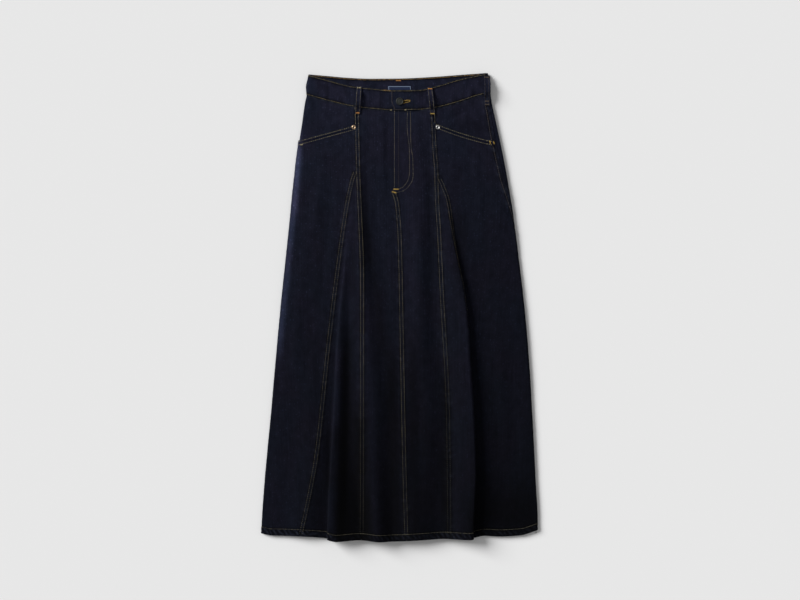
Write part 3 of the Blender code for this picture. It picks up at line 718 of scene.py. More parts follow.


# Painted light: painted shade in the hollows of the folds, and painted highlights on their crests and at the
# side
PAINTED_LIGHT_STRIPES = (
    # across, below, to across, to below, half width, how much painted highlight (above zero) or painted
    # shade (below it)
    (-104, 480, -112, 980, 12.0, -1.05),
    (-82, 640, -72, 1000, 15.0, -1.15),
    (-96, 770, -84, 960, 24.0, -0.42),
    (-118, 520, -124, 730, 7.0, 0.50),
    (-112, 690, -116, 1020, 8.0, -0.55),
    (-140, 700, -144, 850, 7.0, -0.60),
    (-66, 820, -63, 1020, 9.0, -0.65),
    (-98, 830, -92, 1020, 13.0, -0.28),
    (-120, 840, -121, 1030, 7.0, -0.55),
    (-136, 810, -134, 1020, 5.0, 0.38),
    (-72, 260, -26, 590, 9.0, -0.45),
    (-76, 200, -72, 430, 8.0, -0.50),
    (-14, 540, -10, 990, 14.0, -0.65),
    (-18, 530, -18, 700, 9.0, -0.25),
    (-90, 320, -95, 460, 6.0, -0.35),
    (-67, 430, -66, 550, 6.0, 0.22),
    (-67, 230, -66, 400, 8.0, -0.22),
    (128, 270, 131, 400, 7.0, -0.25),
    (-67, 410, -47, 960, 8.0, 0.32),
    (20, 190, 24, 540, 26.0, 0.17),
    (57, 470, 68, 740, 12.0, 0.20),
    (25, 510, 31, 980, 9.0, -0.38),
    (64, 180, 70, 390, 5.0, -0.28),
    (91, 560, 99, 990, 8.0, -0.70),
    (86, 740, 92, 900, 9.0, -0.40),
    (176, 780, 184, 900, 24.0, -0.35),
    (44, 170, 48, 310, 8.0, 0.25),
    (112, 250, 124, 450, 9.0, -0.35),
    (127, 430, 148, 720, 9.0, 0.25),
    (118, 905, 290, 870, 55.0, -0.85),
    (174, 590, 196, 810, 14.0, -0.20),
    (-193, 90, -246, 620, 7.5, 1.30),
    (-196, 70, -208, 320, 6.0, 0.50),
    (-104, 190, -108, 390, 10.0, 0.22),
    (-176, 470, -192, 960, 30.0, -0.17),
    (-150, 230, -166, 500, 12.0, -0.18),
    (226, 340, 242, 790, 14.0, 0.14),
    (92, 96, 184, 122, 18.0, -0.25),
    (96, 74, 170, 52, 11.0, -0.22),
    (-169, 30, -173, 130, 10.0, -0.20),
    (-172, 170, -112, 172, 24.0, -0.13),
    (-166, 800, -148, 980, 16.0, -0.22),
)
PAINTED_STRIPE_END = 0.2


def painted_light(across, below):
    """How much the painted shade and painted highlights scale the tone here."""
    change = np.zeros(np.shape(across))
    for *ends, half, paler in PAINTED_LIGHT_STRIPES:
        share, near = stripe(across, below, ends, half)
        change += paler * near * smooth(share / PAINTED_STRIPE_END) * smooth((1.0 - share) / PAINTED_STRIPE_END)
    return np.exp(change)


# The back's face keeps this far off the surface, which only its seams and hem touch
BACK_SUNK = 0.95
BACK_FLATNESS = 0.5
BACK_WAVES = 0.6


def stand(around, below):
    """How far the face of the cloth stands off its plain lay."""
    across, _, front = section(below).place(around)
    seams = seam_relief(around, below)[0]
    hem = hem_relief(around, below)[0]
    calm = smooth((below - waist_seam_edge(around)) / WAIST_CALM)
    waves = creased(across, below) + uneven(WAVES, across, below)
    on_front = waves * calm + seams + hem
    on_back = BACK_FLATNESS * (seams + hem) - BACK_SUNK - BACK_WAVES * np.abs(waves) * calm
    return front * on_front + (1 - front) * on_back


# Rows of points: fine steps in from the top and bottom edges, then an even step, and finer at the hem
EDGE_STEPS = np.array((0.0, 0.12, 0.3, 0.6, 1.2, 2.4, 2.9, 3.4, 3.9, 4.6, 5.6, 7.0, 9.0, 12.0))
END_STEPS = np.array((0.0, 0.12, 0.3, 0.6, 1.2, 2.4))
ROW_STEP = 3.0
BACK_ROW_STEP = 4.5
HEM_ROWS = 9
HEM_ROWS_START = 1.2
BODY_ROWS_END = 2.0
EDGE_SHARE = 0.45
FINE_STEPS = 300
BEND_SHARE = 45.0
MOST_BEND = 0.2
BEND_WINDOW = 9
EDGE_ROUND = 0.62
SHARP_ANGLE = math.radians(50)
INNER_ROUND = 0.8
LEAST_HEIGHT = 0.02

# How pale each place is worn: at the cut edges, on puckers and on the hem's roping. Then how dark the
# painted shade is in the hollows of the roping and the puckers, and along the cut ends
WORN_REACH = 1.1
WORN_SIDES = 0.45
WORN_PUCKERS = 0.7
WORN_ROPING = 1.3
SHADE_IN_ROPING = 1.5
SHADE_IN_PUCKERS = 0.6
SHADE_AT_ENDS = 0.8
SHADE_AT_ENDS_REACH = 2.4


def long_rows(top, step=ROW_STEP):
    """Rows from this one to the hem."""
    last = HEM_ROW - HEM_BAND
    body = np.linspace(top + END_STEPS[-1], last - BODY_ROWS_END, int((last - top) / step))
    hem = np.linspace(last - HEM_ROWS_START, HEM_ROW - END_STEPS[-1], HEM_ROWS)
    rows = [top + END_STEPS[:-1], body, hem, HEM_ROW - END_STEPS[-2::-1]]
    return np.concatenate(rows)


WAIST_FADE = 140.0
HEM_FADE = (80.0, 14.0)


def at_hem(row):
    """How far a row follows the hem's line, from 0 to 1."""
    start, end = HEM_FADE
    return smooth((row - HEM_ROW + start) / (start - end))


def panel_drop(row, around):
    """Rows that follow the waist seam at their top and the hem at their bottom."""
    at_top = 1 - smooth((row - WAIST_ROW) / WAIST_FADE)
    drop = row + at_top * (waist_seam_edge(around) + SEAM_GAP / 2 - WAIST_ROW)
    return drop + at_hem(row) * (hem_edge(around) - HEM_ROW)


def panel_wall(row):
    start = HEM_ROW - HEM_BAND
    return CLOTH + (HEM_WALL - CLOTH) * smooth((row - start + HEM_STEP / 2) / HEM_STEP)


def panel_level(row, around, below):
    return stand(around, below)


def settle_mark(mark, rows, drop_of, inset):
    """The distances round of a seam on each row, and inset from it."""
    below = np.maximum(rows, BAND_MIDDLE)
    for _ in range(SETTLE_STEPS):
        around = mark(below) + inset
        below = drop_of(rows, around)
    return around


def spread(first, last, rows, drop_of, columns):
    """Distances round on each row: fixed steps in from both seams, and closer where the cloth bends."""
    share = np.linspace(0.0, 1.0, FINE_STEPS + 1)
    dense = first[:, None] + (last - first)[:, None] * share
    across, height, _ = section(drop_of(rows[:, None], dense)).place(dense)
    heading = np.unwrap(np.arctan2(np.diff(height), np.diff(across)), axis=1)
    bending = np.zeros(dense.shape)
    bending[:, 1:-1] = np.abs(np.diff(heading))
    window = np.ones(BEND_WINDOW) / BEND_WINDOW
    around = np.zeros((len(rows), columns + 2 * len(EDGE_STEPS) - 1))
    for number, places in enumerate(dense):
        bends = np.convolve(bending[number], window, "same")
        weight = np.gradient(places) + BEND_SHARE * np.minimum(bends, MOST_BEND)
        total = np.concatenate([[0.0], np.cumsum((weight[1:] + weight[:-1]) / 2)])
        reach = places[-1] - places[0]
        steps = EDGE_STEPS * min(1.0, EDGE_SHARE * reach / EDGE_STEPS[-1])
        near = places[0] + steps
        far = places[-1] - steps[::-1]
        run = np.interp([near[-1], far[0]], places, total)
        middle = np.interp(np.linspace(run[0], run[1], columns + 1), total, places)
        around[number] = np.concatenate([near[:-1], middle, far[1:]])
    return around


def softened(away, radius):
    """How far a rounded edge falls away, this far in from it."""
    short = np.maximum(radius - away, 0.0)
    return radius - np.sqrt(np.maximum(radius**2 - short**2, 0.0))


def new_object(name, mesh):
    obj = bpy.data.objects.new(name, mesh)
    bpy.context.scene.collection.objects.link(obj)
    return obj


def shell(name, outer, inner, lay, worn, sunk, wrong_side, material):
    """A closed piece of cloth from its two faces, with the lay of its cloth as a UV map."""
    rows, columns = outer.shape[:2]
    count = rows * columns
    index = np.arange(count).reshape(rows, columns)
    a, b, c, d = (part.ravel() for part in (index[:-1, :-1], index[:-1, 1:], index[1:, 1:], index[1:, :-1]))
    front = np.stack([a, d, c, b], axis=1)
    behind = np.stack([a, b, c, d], axis=1) + count
    border = np.concatenate([index[:-1, 0], index[-1, :-1], index[:0:-1, -1], index[0, :0:-1]])
    after = np.roll(border, -1)
    rim = np.stack([border, border + count, after + count, after], axis=1)
    corners = np.concatenate([outer.reshape(-1, 3), inner.reshape(-1, 3)]) * MM
    faces = np.concatenate([front, behind, rim])
    mesh = bpy.data.meshes.new(name)
    mesh.from_pydata(corners.tolist(), [], faces.tolist())
    lay = np.concatenate([lay.reshape(-1, 2), lay.reshape(-1, 2)]) * MM
    layer = mesh.uv_layers.new(name="lay")
    layer.uv.foreach_set("vector", lay[faces.ravel()].ravel().astype(np.float32))
    # Painted light on both faces: painted shade in the folds' hollows, painted highlights on their crests
    painted_light_share = painted_light(outer[..., 0], LENGTH / 2 - outer[..., 1])
    on_points = {
        # name: (outer face, inner face)
        "worn": (worn, worn), "sunk": (sunk, sunk), "painted_light": (painted_light_share, painted_light_share),
        "wrong_side": (np.zeros(count), np.full(count, wrong_side)),
    }
    for label, values in on_points.items():
        both = np.concatenate([part.ravel() for part in values])
        mesh.attributes.new(label, "FLOAT", "POINT").data.foreach_set("value", both.astype(np.float32))
    mesh.materials.append(material)
    mesh.shade_smooth()
    mesh.set_sharp_from_angle(angle=SHARP_ANGLE)
    return new_object(name, mesh)


def cut_of(around, below):
    """The flat cut of a piece of cloth in metres: its width, its length and its area."""
    across = (around[1:, 1:] - around[:-1, :-1], around[1:, :-1] - around[:-1, 1:])
    down = (below[1:, 1:] - below[:-1, :-1], below[1:, :-1] - below[:-1, 1:])
    area = 0.5 * np.abs(across[0] * down[1] - down[0] * across[1]).sum()
    width = (around[:, -1] - around[:, 0]).max()
    length = below.max() - below.min()
    return width * MM, length * MM, area * MM**2


def plain_shade(around, below):
    return 0.0


def lay_cloth(
    name, start, end, columns, rows, drop_of, level, wall, material, lies_on, wrong_side=1.0,
    radius=EDGE_ROUND, shade=plain_shade,
):
    """A piece of cloth between two seams, laid in its place. It stands for the CAD node of its name."""
    rows = np.asarray(rows, float)
    first = settle_mark(start, rows, drop_of, SEAM_GAP / 2)
    last = settle_mark(end, rows, drop_of, -SEAM_GAP / 2)
    around = spread(first, last, rows, drop_of, columns)
    below = drop_of(rows[:, None], around)
    points, out = face(around, below)
    from_sides = np.minimum(around - first[:, None], last[:, None] - around)
    from_ends = np.minimum(below - below[:1], below[-1:] - below)
    from_edge = np.minimum(from_sides, from_ends)
    fallen = softened(from_edge, radius)
    raised = level(rows[:, None], around, below)
    thick = wall(rows)[:, None]
    outer = points + out * (raised - fallen)[..., None]
    inner = points + out * (raised - thick + INNER_ROUND * fallen)[..., None]
    outer[..., 2] = np.maximum(outer[..., 2], LEAST_HEIGHT)
    _, puckered, groove_shade = seam_relief(around, below)
    _, roping, stitched = hem_relief(around, below)
    edges = WORN_SIDES * np.exp(-from_sides / WORN_REACH) + np.exp(-from_ends / WORN_REACH)
    worn = edges + WORN_PUCKERS * np.maximum(puckered, 0.0) + WORN_ROPING * np.maximum(roping, 0.0)
    # Painted shade: in the roping's and the puckers' hollows, beside seams, hem stitches and cut ends, and
    # the piece's own shade
    dark = SHADE_IN_ROPING * np.maximum(-roping, 0.0) + SHADE_IN_PUCKERS * np.maximum(-puckered, 0.0)
    sunk = groove_shade + stitched + dark + SHADE_AT_ENDS * bell(from_ends, SHADE_AT_ENDS_REACH) + shade(around, below)
    lay = np.stack([around, -below], axis=-1)
    worn, sunk = np.clip(worn, 0.0, 1.0), np.clip(sunk, 0.0, 1.0)
    obj = shell(name + "_cloth", outer, inner, lay, worn, sunk, wrong_side, material)
    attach(obj, "root")
    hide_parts(name)
    width, length, area = cut_of(around, below)
    min(area, width * length)
    return obj


# Denim: indigo warp over a pale weft. Its yarns are uneven, so it is streaked along the warp. A painted
# shade darkens it from the waist to the hem, a little more so towards the left side, and low down in the
# middle
DENIM_DEEP = (0.0050, 0.0060, 0.0128, 1.0)
DENIM_PALE = (0.0146, 0.0160, 0.0310, 1.0)
DENIM_FADED = (0.036, 0.042, 0.062)
BLUER = (0.93, 1.03, 1.04, 1.0)
REDDER = (1.06, 0.965, 1.0, 1.0)
PAINTED_SHADE_DOWN = (
    # share of the way down, how much of the tone the painted shade leaves
    (0.0, 1.0),
    (0.06, 1.0),
    (0.12, 0.78),
    (0.24, 0.60),
    (0.50, 0.46),
    (0.80, 0.36),
    (1.0, 0.30),
)
# How much more painted shade falls towards the left side, and low down in the middle
PAINTED_SHADE_LEFT = (1.0, 0.3)
PAINTED_SHADE_MIDDLE = 0.42
PAINTED_SHADE_MIDDLE_REACH = (5.5, 0.15)
DENIM_WEFT = (0.070, 0.078, 0.096)
TWILL_STEP = 0.8
TWILL_TURN = math.radians(27)
STREAKS_PER_METRE = (420.0, 9.0, 1.0)
MOTTLES_PER_METRE = (85.0, 60.0, 1.0)
GRAINS_PER_METRE = (820.0, 640.0, 1.0)
SPECKS_PER_METRE = (330.0, 250.0, 1.0)
HUES_PER_METRE = (16.0, 9.0, 1.0)
PATCHES_PER_METRE = (160.0, 160.0, 1.0)
TONE_SPREAD = (0.32, 0.68)
HUE_SPREAD = (0.38, 0.62)
SPECK_SPREAD = (0.69, 0.80)
SPECK_STRENGTH = 1.1
MOST_RUBBED = 0.8
TWILL_WOBBLE = 0.8
TWILL_SHADE = (0.5, 0.72)
STREAK_SHARE = 0.28
MOTTLE_SHARE = 0.42
GRAIN_SHARE = 0.30
HEIGHT_SHARE = 0.5


def add_node(tree, kind, inputs=None, **settings):
    """The outputs of a new node, which has a value or a link in each input that is named."""
    node = tree.nodes.new(kind)
    for name, value in settings.items():
        setattr(node, name, value)
    for name, value in (inputs or {}).items():
        if isinstance(value, bpy.types.NodeSocket):
            tree.links.new(value, node.inputs[name])
        else:
            node.inputs[name].default_value = value
    return node.outputs


def add_math(tree, operation, *values):
    return add_node(tree, "ShaderNodeMath", dict(enumerate(values)), operation=operation)[0]


def add_mix(tree, share, first, second, blend="MIX"):
    inputs = {0: share, 6: first, 7: second}
    return add_node(tree, "ShaderNodeMix", inputs, data_type="RGBA", blend_type=blend)[2]


def add_range(tree, value, low, high, to_low=0.0, to_high=1.0, **settings):
    """The value moved from one range to another, and held inside it."""
    inputs = {0: value, 1: low, 2: high, 3: to_low, 4: to_high}
    return add_node(tree, "ShaderNodeMapRange", inputs, **settings)[0]


def add_sum(tree, *parts):
    """The sum of some values, each given with its share."""
    value, share = parts[0]
    total = add_math(tree, "MULTIPLY", value, share)
    for value, share in parts[1:]:
        total = add_math(tree, "MULTIPLY_ADD", value, share, total)
    return total


def add_wave(tree, place, scale, distortion=0.0, **settings):
    inputs = {"Vector": place, "Scale": scale, "Distortion": distortion}
    return add_node(tree, "ShaderNodeTexWave", inputs, **settings)["Fac"]


def scaled(tree, colour, by):
    return add_node(tree, "ShaderNodeVectorMath", {0: colour, "Scale": by}, operation="SCALE")[0]


def attribute(tree, name):
    return add_node(tree, "ShaderNodeAttribute", attribute_name=name)["Fac"]


def new_group(name, inputs, outputs, kind="ShaderNodeTree"):
    """A node group with these sockets, and what is given to it."""
    group = bpy.data.node_groups.new(name, kind)
    for way, sockets in (("INPUT", inputs), ("OUTPUT", outputs)):
        for label, holds in sockets.items():
            group.interface.new_socket(label, in_out=way, socket_type="NodeSocket" + holds)
    return group, group.nodes.new("NodeGroupInput").outputs


def noise_on_lay(tree, per_metre, detail, place=(0.0, 0.0, 0.0)):
    """Noise that lies along the warp and the weft, with this many spots in a metre."""
    lay = add_node(tree, "ShaderNodeUVMap", uv_map="lay")[0]
    mapped = add_node(tree, "ShaderNodeMapping", {"Vector": lay, "Location": place, "Scale": per_metre})[0]
    return add_node(tree, "ShaderNodeTexNoise", {"Vector": mapped, "Scale": 1.0, "Detail": detail})[0]


weave, given = new_group(
    "denim_weave", {"Deep": "Color", "Pale": "Color"},
    {"Colour": "Color", "Height": "Float", "Grain": "Float"},
)
streaks = noise_on_lay(weave, STREAKS_PER_METRE, 1.0)
mottles = noise_on_lay(weave, MOTTLES_PER_METRE, 3.0, (7.0, 3.0, 0.0))
grains = noise_on_lay(weave, GRAINS_PER_METRE, 1.0, (2.0, 9.0, 0.0))
lay = add_node(weave, "ShaderNodeUVMap", uv_map="lay")[0]
turned_lay = add_node(weave, "ShaderNodeMapping", {"Vector": lay, "Rotation": (0.0, 0.0, TWILL_TURN)})[0]
# A wave texture of scale 1 repeats at every tenth of pi
twill = add_wave(weave, turned_lay, math.pi / (10 * TWILL_STEP * MM), TWILL_WOBBLE, wave_profile="SIN")
mixed = add_sum(weave, (streaks, STREAK_SHARE), (mottles, MOTTLE_SHARE), (grains, GRAIN_SHARE))
tone = add_mix(weave, add_range(weave, mixed, *TONE_SPREAD), given["Deep"], given["Pale"])
hues = noise_on_lay(weave, HUES_PER_METRE, 1.0, (3.0, 6.0, 0.0))
hue = add_mix(weave, add_range(weave, hues, *HUE_SPREAD), BLUER, REDDER)
tinted = add_mix(weave, 1.0, tone, hue, "MULTIPLY")
specks = noise_on_lay(weave, SPECKS_PER_METRE, 0.0, (1.0, 4.0, 0.0))
speck = add_range(weave, specks, *SPECK_SPREAD, 0.0, SPECK_STRENGTH)
twill_shade = add_math(weave, "ADD", add_math(weave, "MULTIPLY_ADD", twill, *TWILL_SHADE), speck)
height = add_sum(weave, *((part, HEIGHT_SHARE) for part in (twill, grains, streaks)))
colour = scaled(weave, tinted, twill_shade)
add_node(weave, "NodeGroupOutput", {"Colour": colour, "Height": height, "Grain": grains})

# Painted shade: darker down the skirt, towards the left side, and low down in the middle
painted_shading, _ = new_group("painted_shade_tone", {}, {"Tone": "Float"})
place = add_node(painted_shading, "ShaderNodeTexCoord")["Object"]
place = add_node(painted_shading, "ShaderNodeSeparateXYZ", {0: place})
down = add_range(painted_shading, place["Y"], LENGTH / 2 * MM, -LENGTH / 2 * MM)
ramp = painted_shading.nodes.new("ShaderNodeValToRGB")
painted_shading.links.new(down, ramp.inputs[0])
stops = ramp.color_ramp.elements
stops[0].position, stops[1].position = PAINTED_SHADE_DOWN[0][0], PAINTED_SHADE_DOWN[-1][0]
for share, _ in PAINTED_SHADE_DOWN[1:-1]:
    stops.new(share)
for stop, (share, left) in zip(stops, PAINTED_SHADE_DOWN):
    stop.color = (left, left, left, 1.0)
leftwards = add_math(painted_shading, "MULTIPLY_ADD", down, *PAINTED_SHADE_LEFT)
leftwards = add_math(painted_shading, "MULTIPLY", place["X"], leftwards)
sideways = add_math(painted_shading, "SUBTRACT", 1.0, leftwards)
off_middle = add_math(painted_shading, "MULTIPLY_ADD", place["X"], *PAINTED_SHADE_MIDDLE_REACH)
around_middle = add_math(painted_shading, "SUBTRACT", 1.0, add_math(painted_shading, "MULTIPLY", off_middle, off_middle))
middle = add_range(painted_shading, around_middle, 0.0, 0.9, interpolation_type="SMOOTHSTEP")
low = add_range(painted_shading, down, 0.40, 1.0, 0.0, PAINTED_SHADE_MIDDLE)
dim = add_math(painted_shading, "SUBTRACT", 1.0, add_math(painted_shading, "MULTIPLY", middle, low))
toned = add_math(painted_shading, "MULTIPLY", add_math(painted_shading, "MULTIPLY", ramp.outputs[0], sideways), dim)
add_node(painted_shading, "NodeGroupOutput", {"Tone": toned})

wear, given = new_group(
    "rubbed_edges", {"Colour": "Color", "Rubbed colour": "Color", "Grain": "Float"}, {"Colour": "Color"}
)
patches = noise_on_lay(wear, PATCHES_PER_METRE, 2.0, (5.0, 1.0, 0.0))
patches = add_math(wear, "MULTIPLY_ADD", patches, 2.4, -0.75)
rubbed = add_math(wear, "MULTIPLY", attribute(wear, "worn"), patches)
rubbed = add_math(wear, "MULTIPLY", rubbed, add_math(wear, "MULTIPLY_ADD", given["Grain"], 1.6, 0.1))
rubbed = add_node(wear, "ShaderNodeClamp", {0: rubbed, 1: 0.0, 2: MOST_RUBBED})[0]
colour = add_mix(wear, rubbed, given["Colour"], given["Rubbed colour"])
add_node(wear, "NodeGroupOutput", {"Colour": colour})


def new_material(name, roughness, specular, metallic=0.0):
    material = bpy.data.materials.new(name)
    material.use_nodes = True
    shader = material.node_tree.nodes["Principled BSDF"]
    shader.inputs["Roughness"].default_value = roughness
    shader.inputs["Specular IOR Level"].default_value = specular
    shader.inputs["Metallic"].default_value = metallic
    return material, material.node_tree, shader


def add_bump(tree, shader, height, distance, strength):
    inputs = {"Height": height, "Distance": distance * MM, "Strength": strength}
    tree.links.new(add_node(tree, "ShaderNodeBump", inputs)[0], shader.inputs["Normal"])


# How much the painted shade in grooves, hollows and along ends darkens the denim
PAINTED_SHADE_DEPTH = 0.68
RUBBED_AT_LEAST = 0.30
denim, tree, shader = new_material("dark_denim", 0.85, 0.05)
woven = add_node(tree, "ShaderNodeGroup", {"Deep": DENIM_DEEP, "Pale": DENIM_PALE}, node_tree=weave)
# Painted shade that scales the woven tone, the rubbed colour and the weft
deep = add_node(tree, "ShaderNodeGroup", node_tree=painted_shading)["Tone"]
painted_light_share = attribute(tree, "painted_light")
left = add_math(tree, "MULTIPLY_ADD", attribute(tree, "sunk"), -PAINTED_SHADE_DEPTH, 1.0)
left = add_math(tree, "MULTIPLY", left, painted_light_share)
toned = scaled(tree, woven["Colour"], add_math(tree, "MULTIPLY", left, deep))
least = add_math(tree, "MULTIPLY_ADD", deep, 1.0 - RUBBED_AT_LEAST, RUBBED_AT_LEAST)
pale = scaled(tree, DENIM_FADED, add_math(tree, "MULTIPLY", least, painted_light_share))
colours = {"Colour": toned, "Rubbed colour": pale, "Grain": woven["Grain"]}
rubbed = add_node(tree, "ShaderNodeGroup", colours, node_tree=wear)["Colour"]
speckled = add_math(tree, "MULTIPLY_ADD", woven["Height"], 0.8, 0.1)
speckled = add_math(tree, "MULTIPLY", attribute(tree, "wrong_side"), speckled)
weft = scaled(tree, DENIM_WEFT, deep)
tree.links.new(add_mix(tree, speckled, rubbed, weft), shader.inputs["Base Color"])
add_bump(tree, shader, woven["Height"], 0.35, 0.7)

# The fly: how far the right panel runs on under the left one, and down to where. It begins to sink, and
# has sunk, at these two distances before the left one's edge
FLY_UNDERLAP = 12.6
FLY_END = 236.0
FLY_TURN = 4.0
FLY_FADE = 22.0
UNDERLAP_SINK = (24.0, 10.5)


def underlap_edge(below):
    lapped = FLY_UNDERLAP * (1 - smooth((below - FLY_END) / FLY_TURN))
    return centre_front(below) + lapped


def underlap_level(row, around, below):
    """The right panel sinks under the left one along the fly."""
    start, end = UNDERLAP_SINK
    sunk = smooth((around - centre_front(below) + start) / (start - end))
    fading = 1 - smooth((below - FLY_END - FLY_TURN) / FLY_FADE)
    return panel_level(row, around, below) - (CLOTH + LAYER_GAP) * sunk * fading


plain_rows = long_rows(WAIST_ROW)
fly_rows = np.unique(np.concatenate([plain_rows, np.arange(FLY_END - 2.0, FLY_END + 8.0, 1.0)]))
fly_rows = fly_rows[np.concatenate([[True], np.diff(fly_rows) > 0.08])]
lay_cloth(
    "centre_front_right", right_princess, underlap_edge, 26, fly_rows, panel_drop, underlap_level,
    panel_wall, denim, ["back_right"],
)


def plain_panel(name, start, end, columns, rows, lies_on):
    """A panel from the waist seam to the hem, with nothing on it but its seams."""
    lay_cloth(name, start, end, columns, rows, panel_drop, panel_level, panel_wall, denim, lies_on)


plain_panel(
    "centre_front_left", centre_front, left_princess, 26, plain_rows, ["back_left", "centre_front_right"]
)

# Topstitching. Each stitch is a short bent length of thick thread, and the tree lays one every pitch
# along the guide lines, pressed into the cloth at both ends
THREAD_RADIUS = 0.45
STITCH_LENGTH = 2.5
STITCH_PITCH = 4.2
GUIDE_STEP = 1.2
PLIES_PER_METRE = 700.0
SWAY = 0.06

# How high a stitch's middle is drawn and how deep its ends are pressed, as shares of its radius
THREAD_ARCH = 1.4
THREAD_DIP = -1.1

# Painted shade on the threads: how much of their colour is left, at distances below the top
UNSHADED_THREAD = ((75, 1.0), (930, 1.0))
SEAM_THREAD_SHADE = ((75, 1.0), (330, 0.60), (630, 0.44), (930, 0.36))
CENTRE_THREAD_SHADE = ((75, 0.95), (410, 0.85), (630, 0.80), (830, 0.42), (930, 0.36))
RIGHT_PRINCESS_THREAD_SHADE = ((75, 1.1), (250, 0.90), (450, 1.0), (600, 0.60), (720, 0.30), (930, 0.09))
LEFT_PRINCESS_THREAD_SHADE = ((75, 0.80), (390, 0.80), (560, 0.38), (670, 0.15), (930, 0.06))


def thread(name, darkest, palest):
    """Polyester-cotton topstitching thread, whose stitches differ a little in colour, darkened by a painted
    shade.
    """
    material, tree, shader = new_material(name, 0.6, 0.3)
    tone = add_mix(tree, attribute(tree, "tone"), (*darkest, 1.0), (*palest, 1.0))
    tree.links.new(scaled(tree, tone, attribute(tree, "painted_light_share")), shader.inputs["Base Color"])
    place = add_node(tree, "ShaderNodeTexCoord")["Object"]
    plies = add_wave(tree, place, PLIES_PER_METRE, bands_direction="DIAGONAL")
    add_bump(tree, shader, plies, 0.08, 0.5)
    return material


pale_thread = thread("pale_gold_thread", (0.10, 0.085, 0.048), (0.37, 0.32, 0.19))
seam_thread = thread("dull_gold_thread", (0.040, 0.034, 0.020), (0.225, 0.188, 0.112))
hem_thread = thread("hem_thread", (0.032, 0.028, 0.017), (0.115, 0.102, 0.066))
band_thread = thread("band_thread", (0.050, 0.040, 0.016), (0.21, 0.165, 0.065))
brown_thread = thread("brown_thread", (0.028, 0.019, 0.013), (0.085, 0.062, 0.046))
amber_thread = thread("amber_thread", (0.14, 0.08, 0.020), (0.46, 0.28, 0.08))
gold_thread = thread("gold_thread", (0.16, 0.10, 0.014), (0.42, 0.27, 0.05))
orange_thread = thread("orange_thread", (0.20, 0.075, 0.012), (0.48, 0.21, 0.035))

sewing, given = new_group(
    "sewn_line",
    {
        "Guides": "Geometry", "Pitch": "Float", "Stitch length": "Float", "Thread radius": "Float",
        "Arch": "Float", "Turn": "Float", "Seed": "Int", "Thread": "Material",
    },
    {"Stitches": "Geometry"}, "GeometryNodeTree",
)


def sewing_node(kind, inputs=None, **settings):
    return add_node(sewing, kind, inputs, **settings)[0]


def random_value(low, high):
    inputs = {2: low, 3: high, "Seed": given["Seed"]}
    return add_node(sewing, "FunctionNodeRandomValue", inputs, data_type="FLOAT")[1]


half_length = add_math(sewing, "MULTIPLY", given["Stitch length"], 0.5)
half_back = add_math(sewing, "MULTIPLY", given["Stitch length"], -0.5)
dip = add_math(sewing, "MULTIPLY", given["Thread radius"], THREAD_DIP)
bow = sewing_node("GeometryNodeCurveQuadraticBezier", {
    "Resolution": 4,
    "Start": sewing_node("ShaderNodeCombineXYZ", {"X": half_back, "Z": dip}),
    "Middle": sewing_node("ShaderNodeCombineXYZ", {"Z": given["Arch"]}),
    "End": sewing_node("ShaderNodeCombineXYZ", {"X": half_length, "Z": dip}),
})
ring = sewing_node("GeometryNodeCurvePrimitiveCircle", {"Resolution": 5, "Radius": given["Thread radius"]})
stitch = sewing_node("GeometryNodeCurveToMesh", {"Curve": bow, "Profile Curve": ring, "Fill Caps": True})
curves = sewing_node("GeometryNodeMeshToCurve", {"Mesh": given["Guides"]})
points = sewing_node(
    "GeometryNodeResampleCurve", {"Curve": curves, "Length": given["Pitch"]}, mode="LENGTH"
)
tangent = sewing_node("GeometryNodeInputTangent")
upwards = sewing_node("GeometryNodeInputNamedAttribute", {"Name": "up"}, data_type="FLOAT_VECTOR")
along = sewing_node("FunctionNodeAlignRotationToVector", {"Vector": tangent}, axis="X")
upright = sewing_node(
    "FunctionNodeAlignRotationToVector", {"Rotation": along, "Vector": upwards}, axis="Z", pivot_axis="X"
)
turn_by = add_math(sewing, "ADD", given["Turn"], random_value(-SWAY, SWAY))
turn = sewing_node("FunctionNodeAxisAngleToRotation", {"Angle": turn_by})
swayed = sewing_node(
    "FunctionNodeRotateRotation", {"Rotation": upright, "Rotate By": turn}, rotation_space="LOCAL"
)
laid = sewing_node(
    "GeometryNodeInstanceOnPoints", {"Points": points, "Instance": stitch, "Rotation": swayed}
)
laid = sewing_node(
    "GeometryNodeStoreNamedAttribute", {"Geometry": laid, "Name": "tone", "Value": random_value(0.0, 1.0)},
    data_type="FLOAT", domain="INSTANCE",
)
laid = sewing_node("GeometryNodeRealizeInstances", {"Geometry": laid})
laid = sewing_node("GeometryNodeSetMaterial", {"Geometry": laid, "Material": given["Thread"]})
laid = sewing_node("GeometryNodeSetShadeSmooth", {"Geometry": laid})
add_node(sewing, "NodeGroupOutput", {"Stitches": laid})


def guide(around, below, raised, side=1.0):
    """A line on the cloth to sew along: its points, and the directions out of the cloth."""
    points, out = face(around, below)
    return points + out * np.broadcast_to(raised, np.shape(around))[:, None], out * side


def on_cloth(around, below):
    """A guide on the face of the skirt's cloth."""
    return guide(around, below, stand(around, below))


def on_piece(level, around, below, lift=0.0):
    """A guide on the face of a piece that has its own level."""
    return guide(around, below, level(0.0, around, below) + lift)


def evenly(along, step=GUIDE_STEP):
    """Even steps from the first to the last of these values."""
    return np.linspace(along[0], along[1], max(2, int(abs(along[1] - along[0]) / step) + 1))


def settle(obj):
    """The object's mesh as its modifiers leave it, in place of the modifiers."""
    graph = bpy.context.evaluated_depsgraph_get()
    made = bpy.data.meshes.new_from_object(
        obj.evaluated_get(graph), preserve_all_data_layers=True, depsgraph=graph
    )
    obj.modifiers.clear()
    obj.data = made


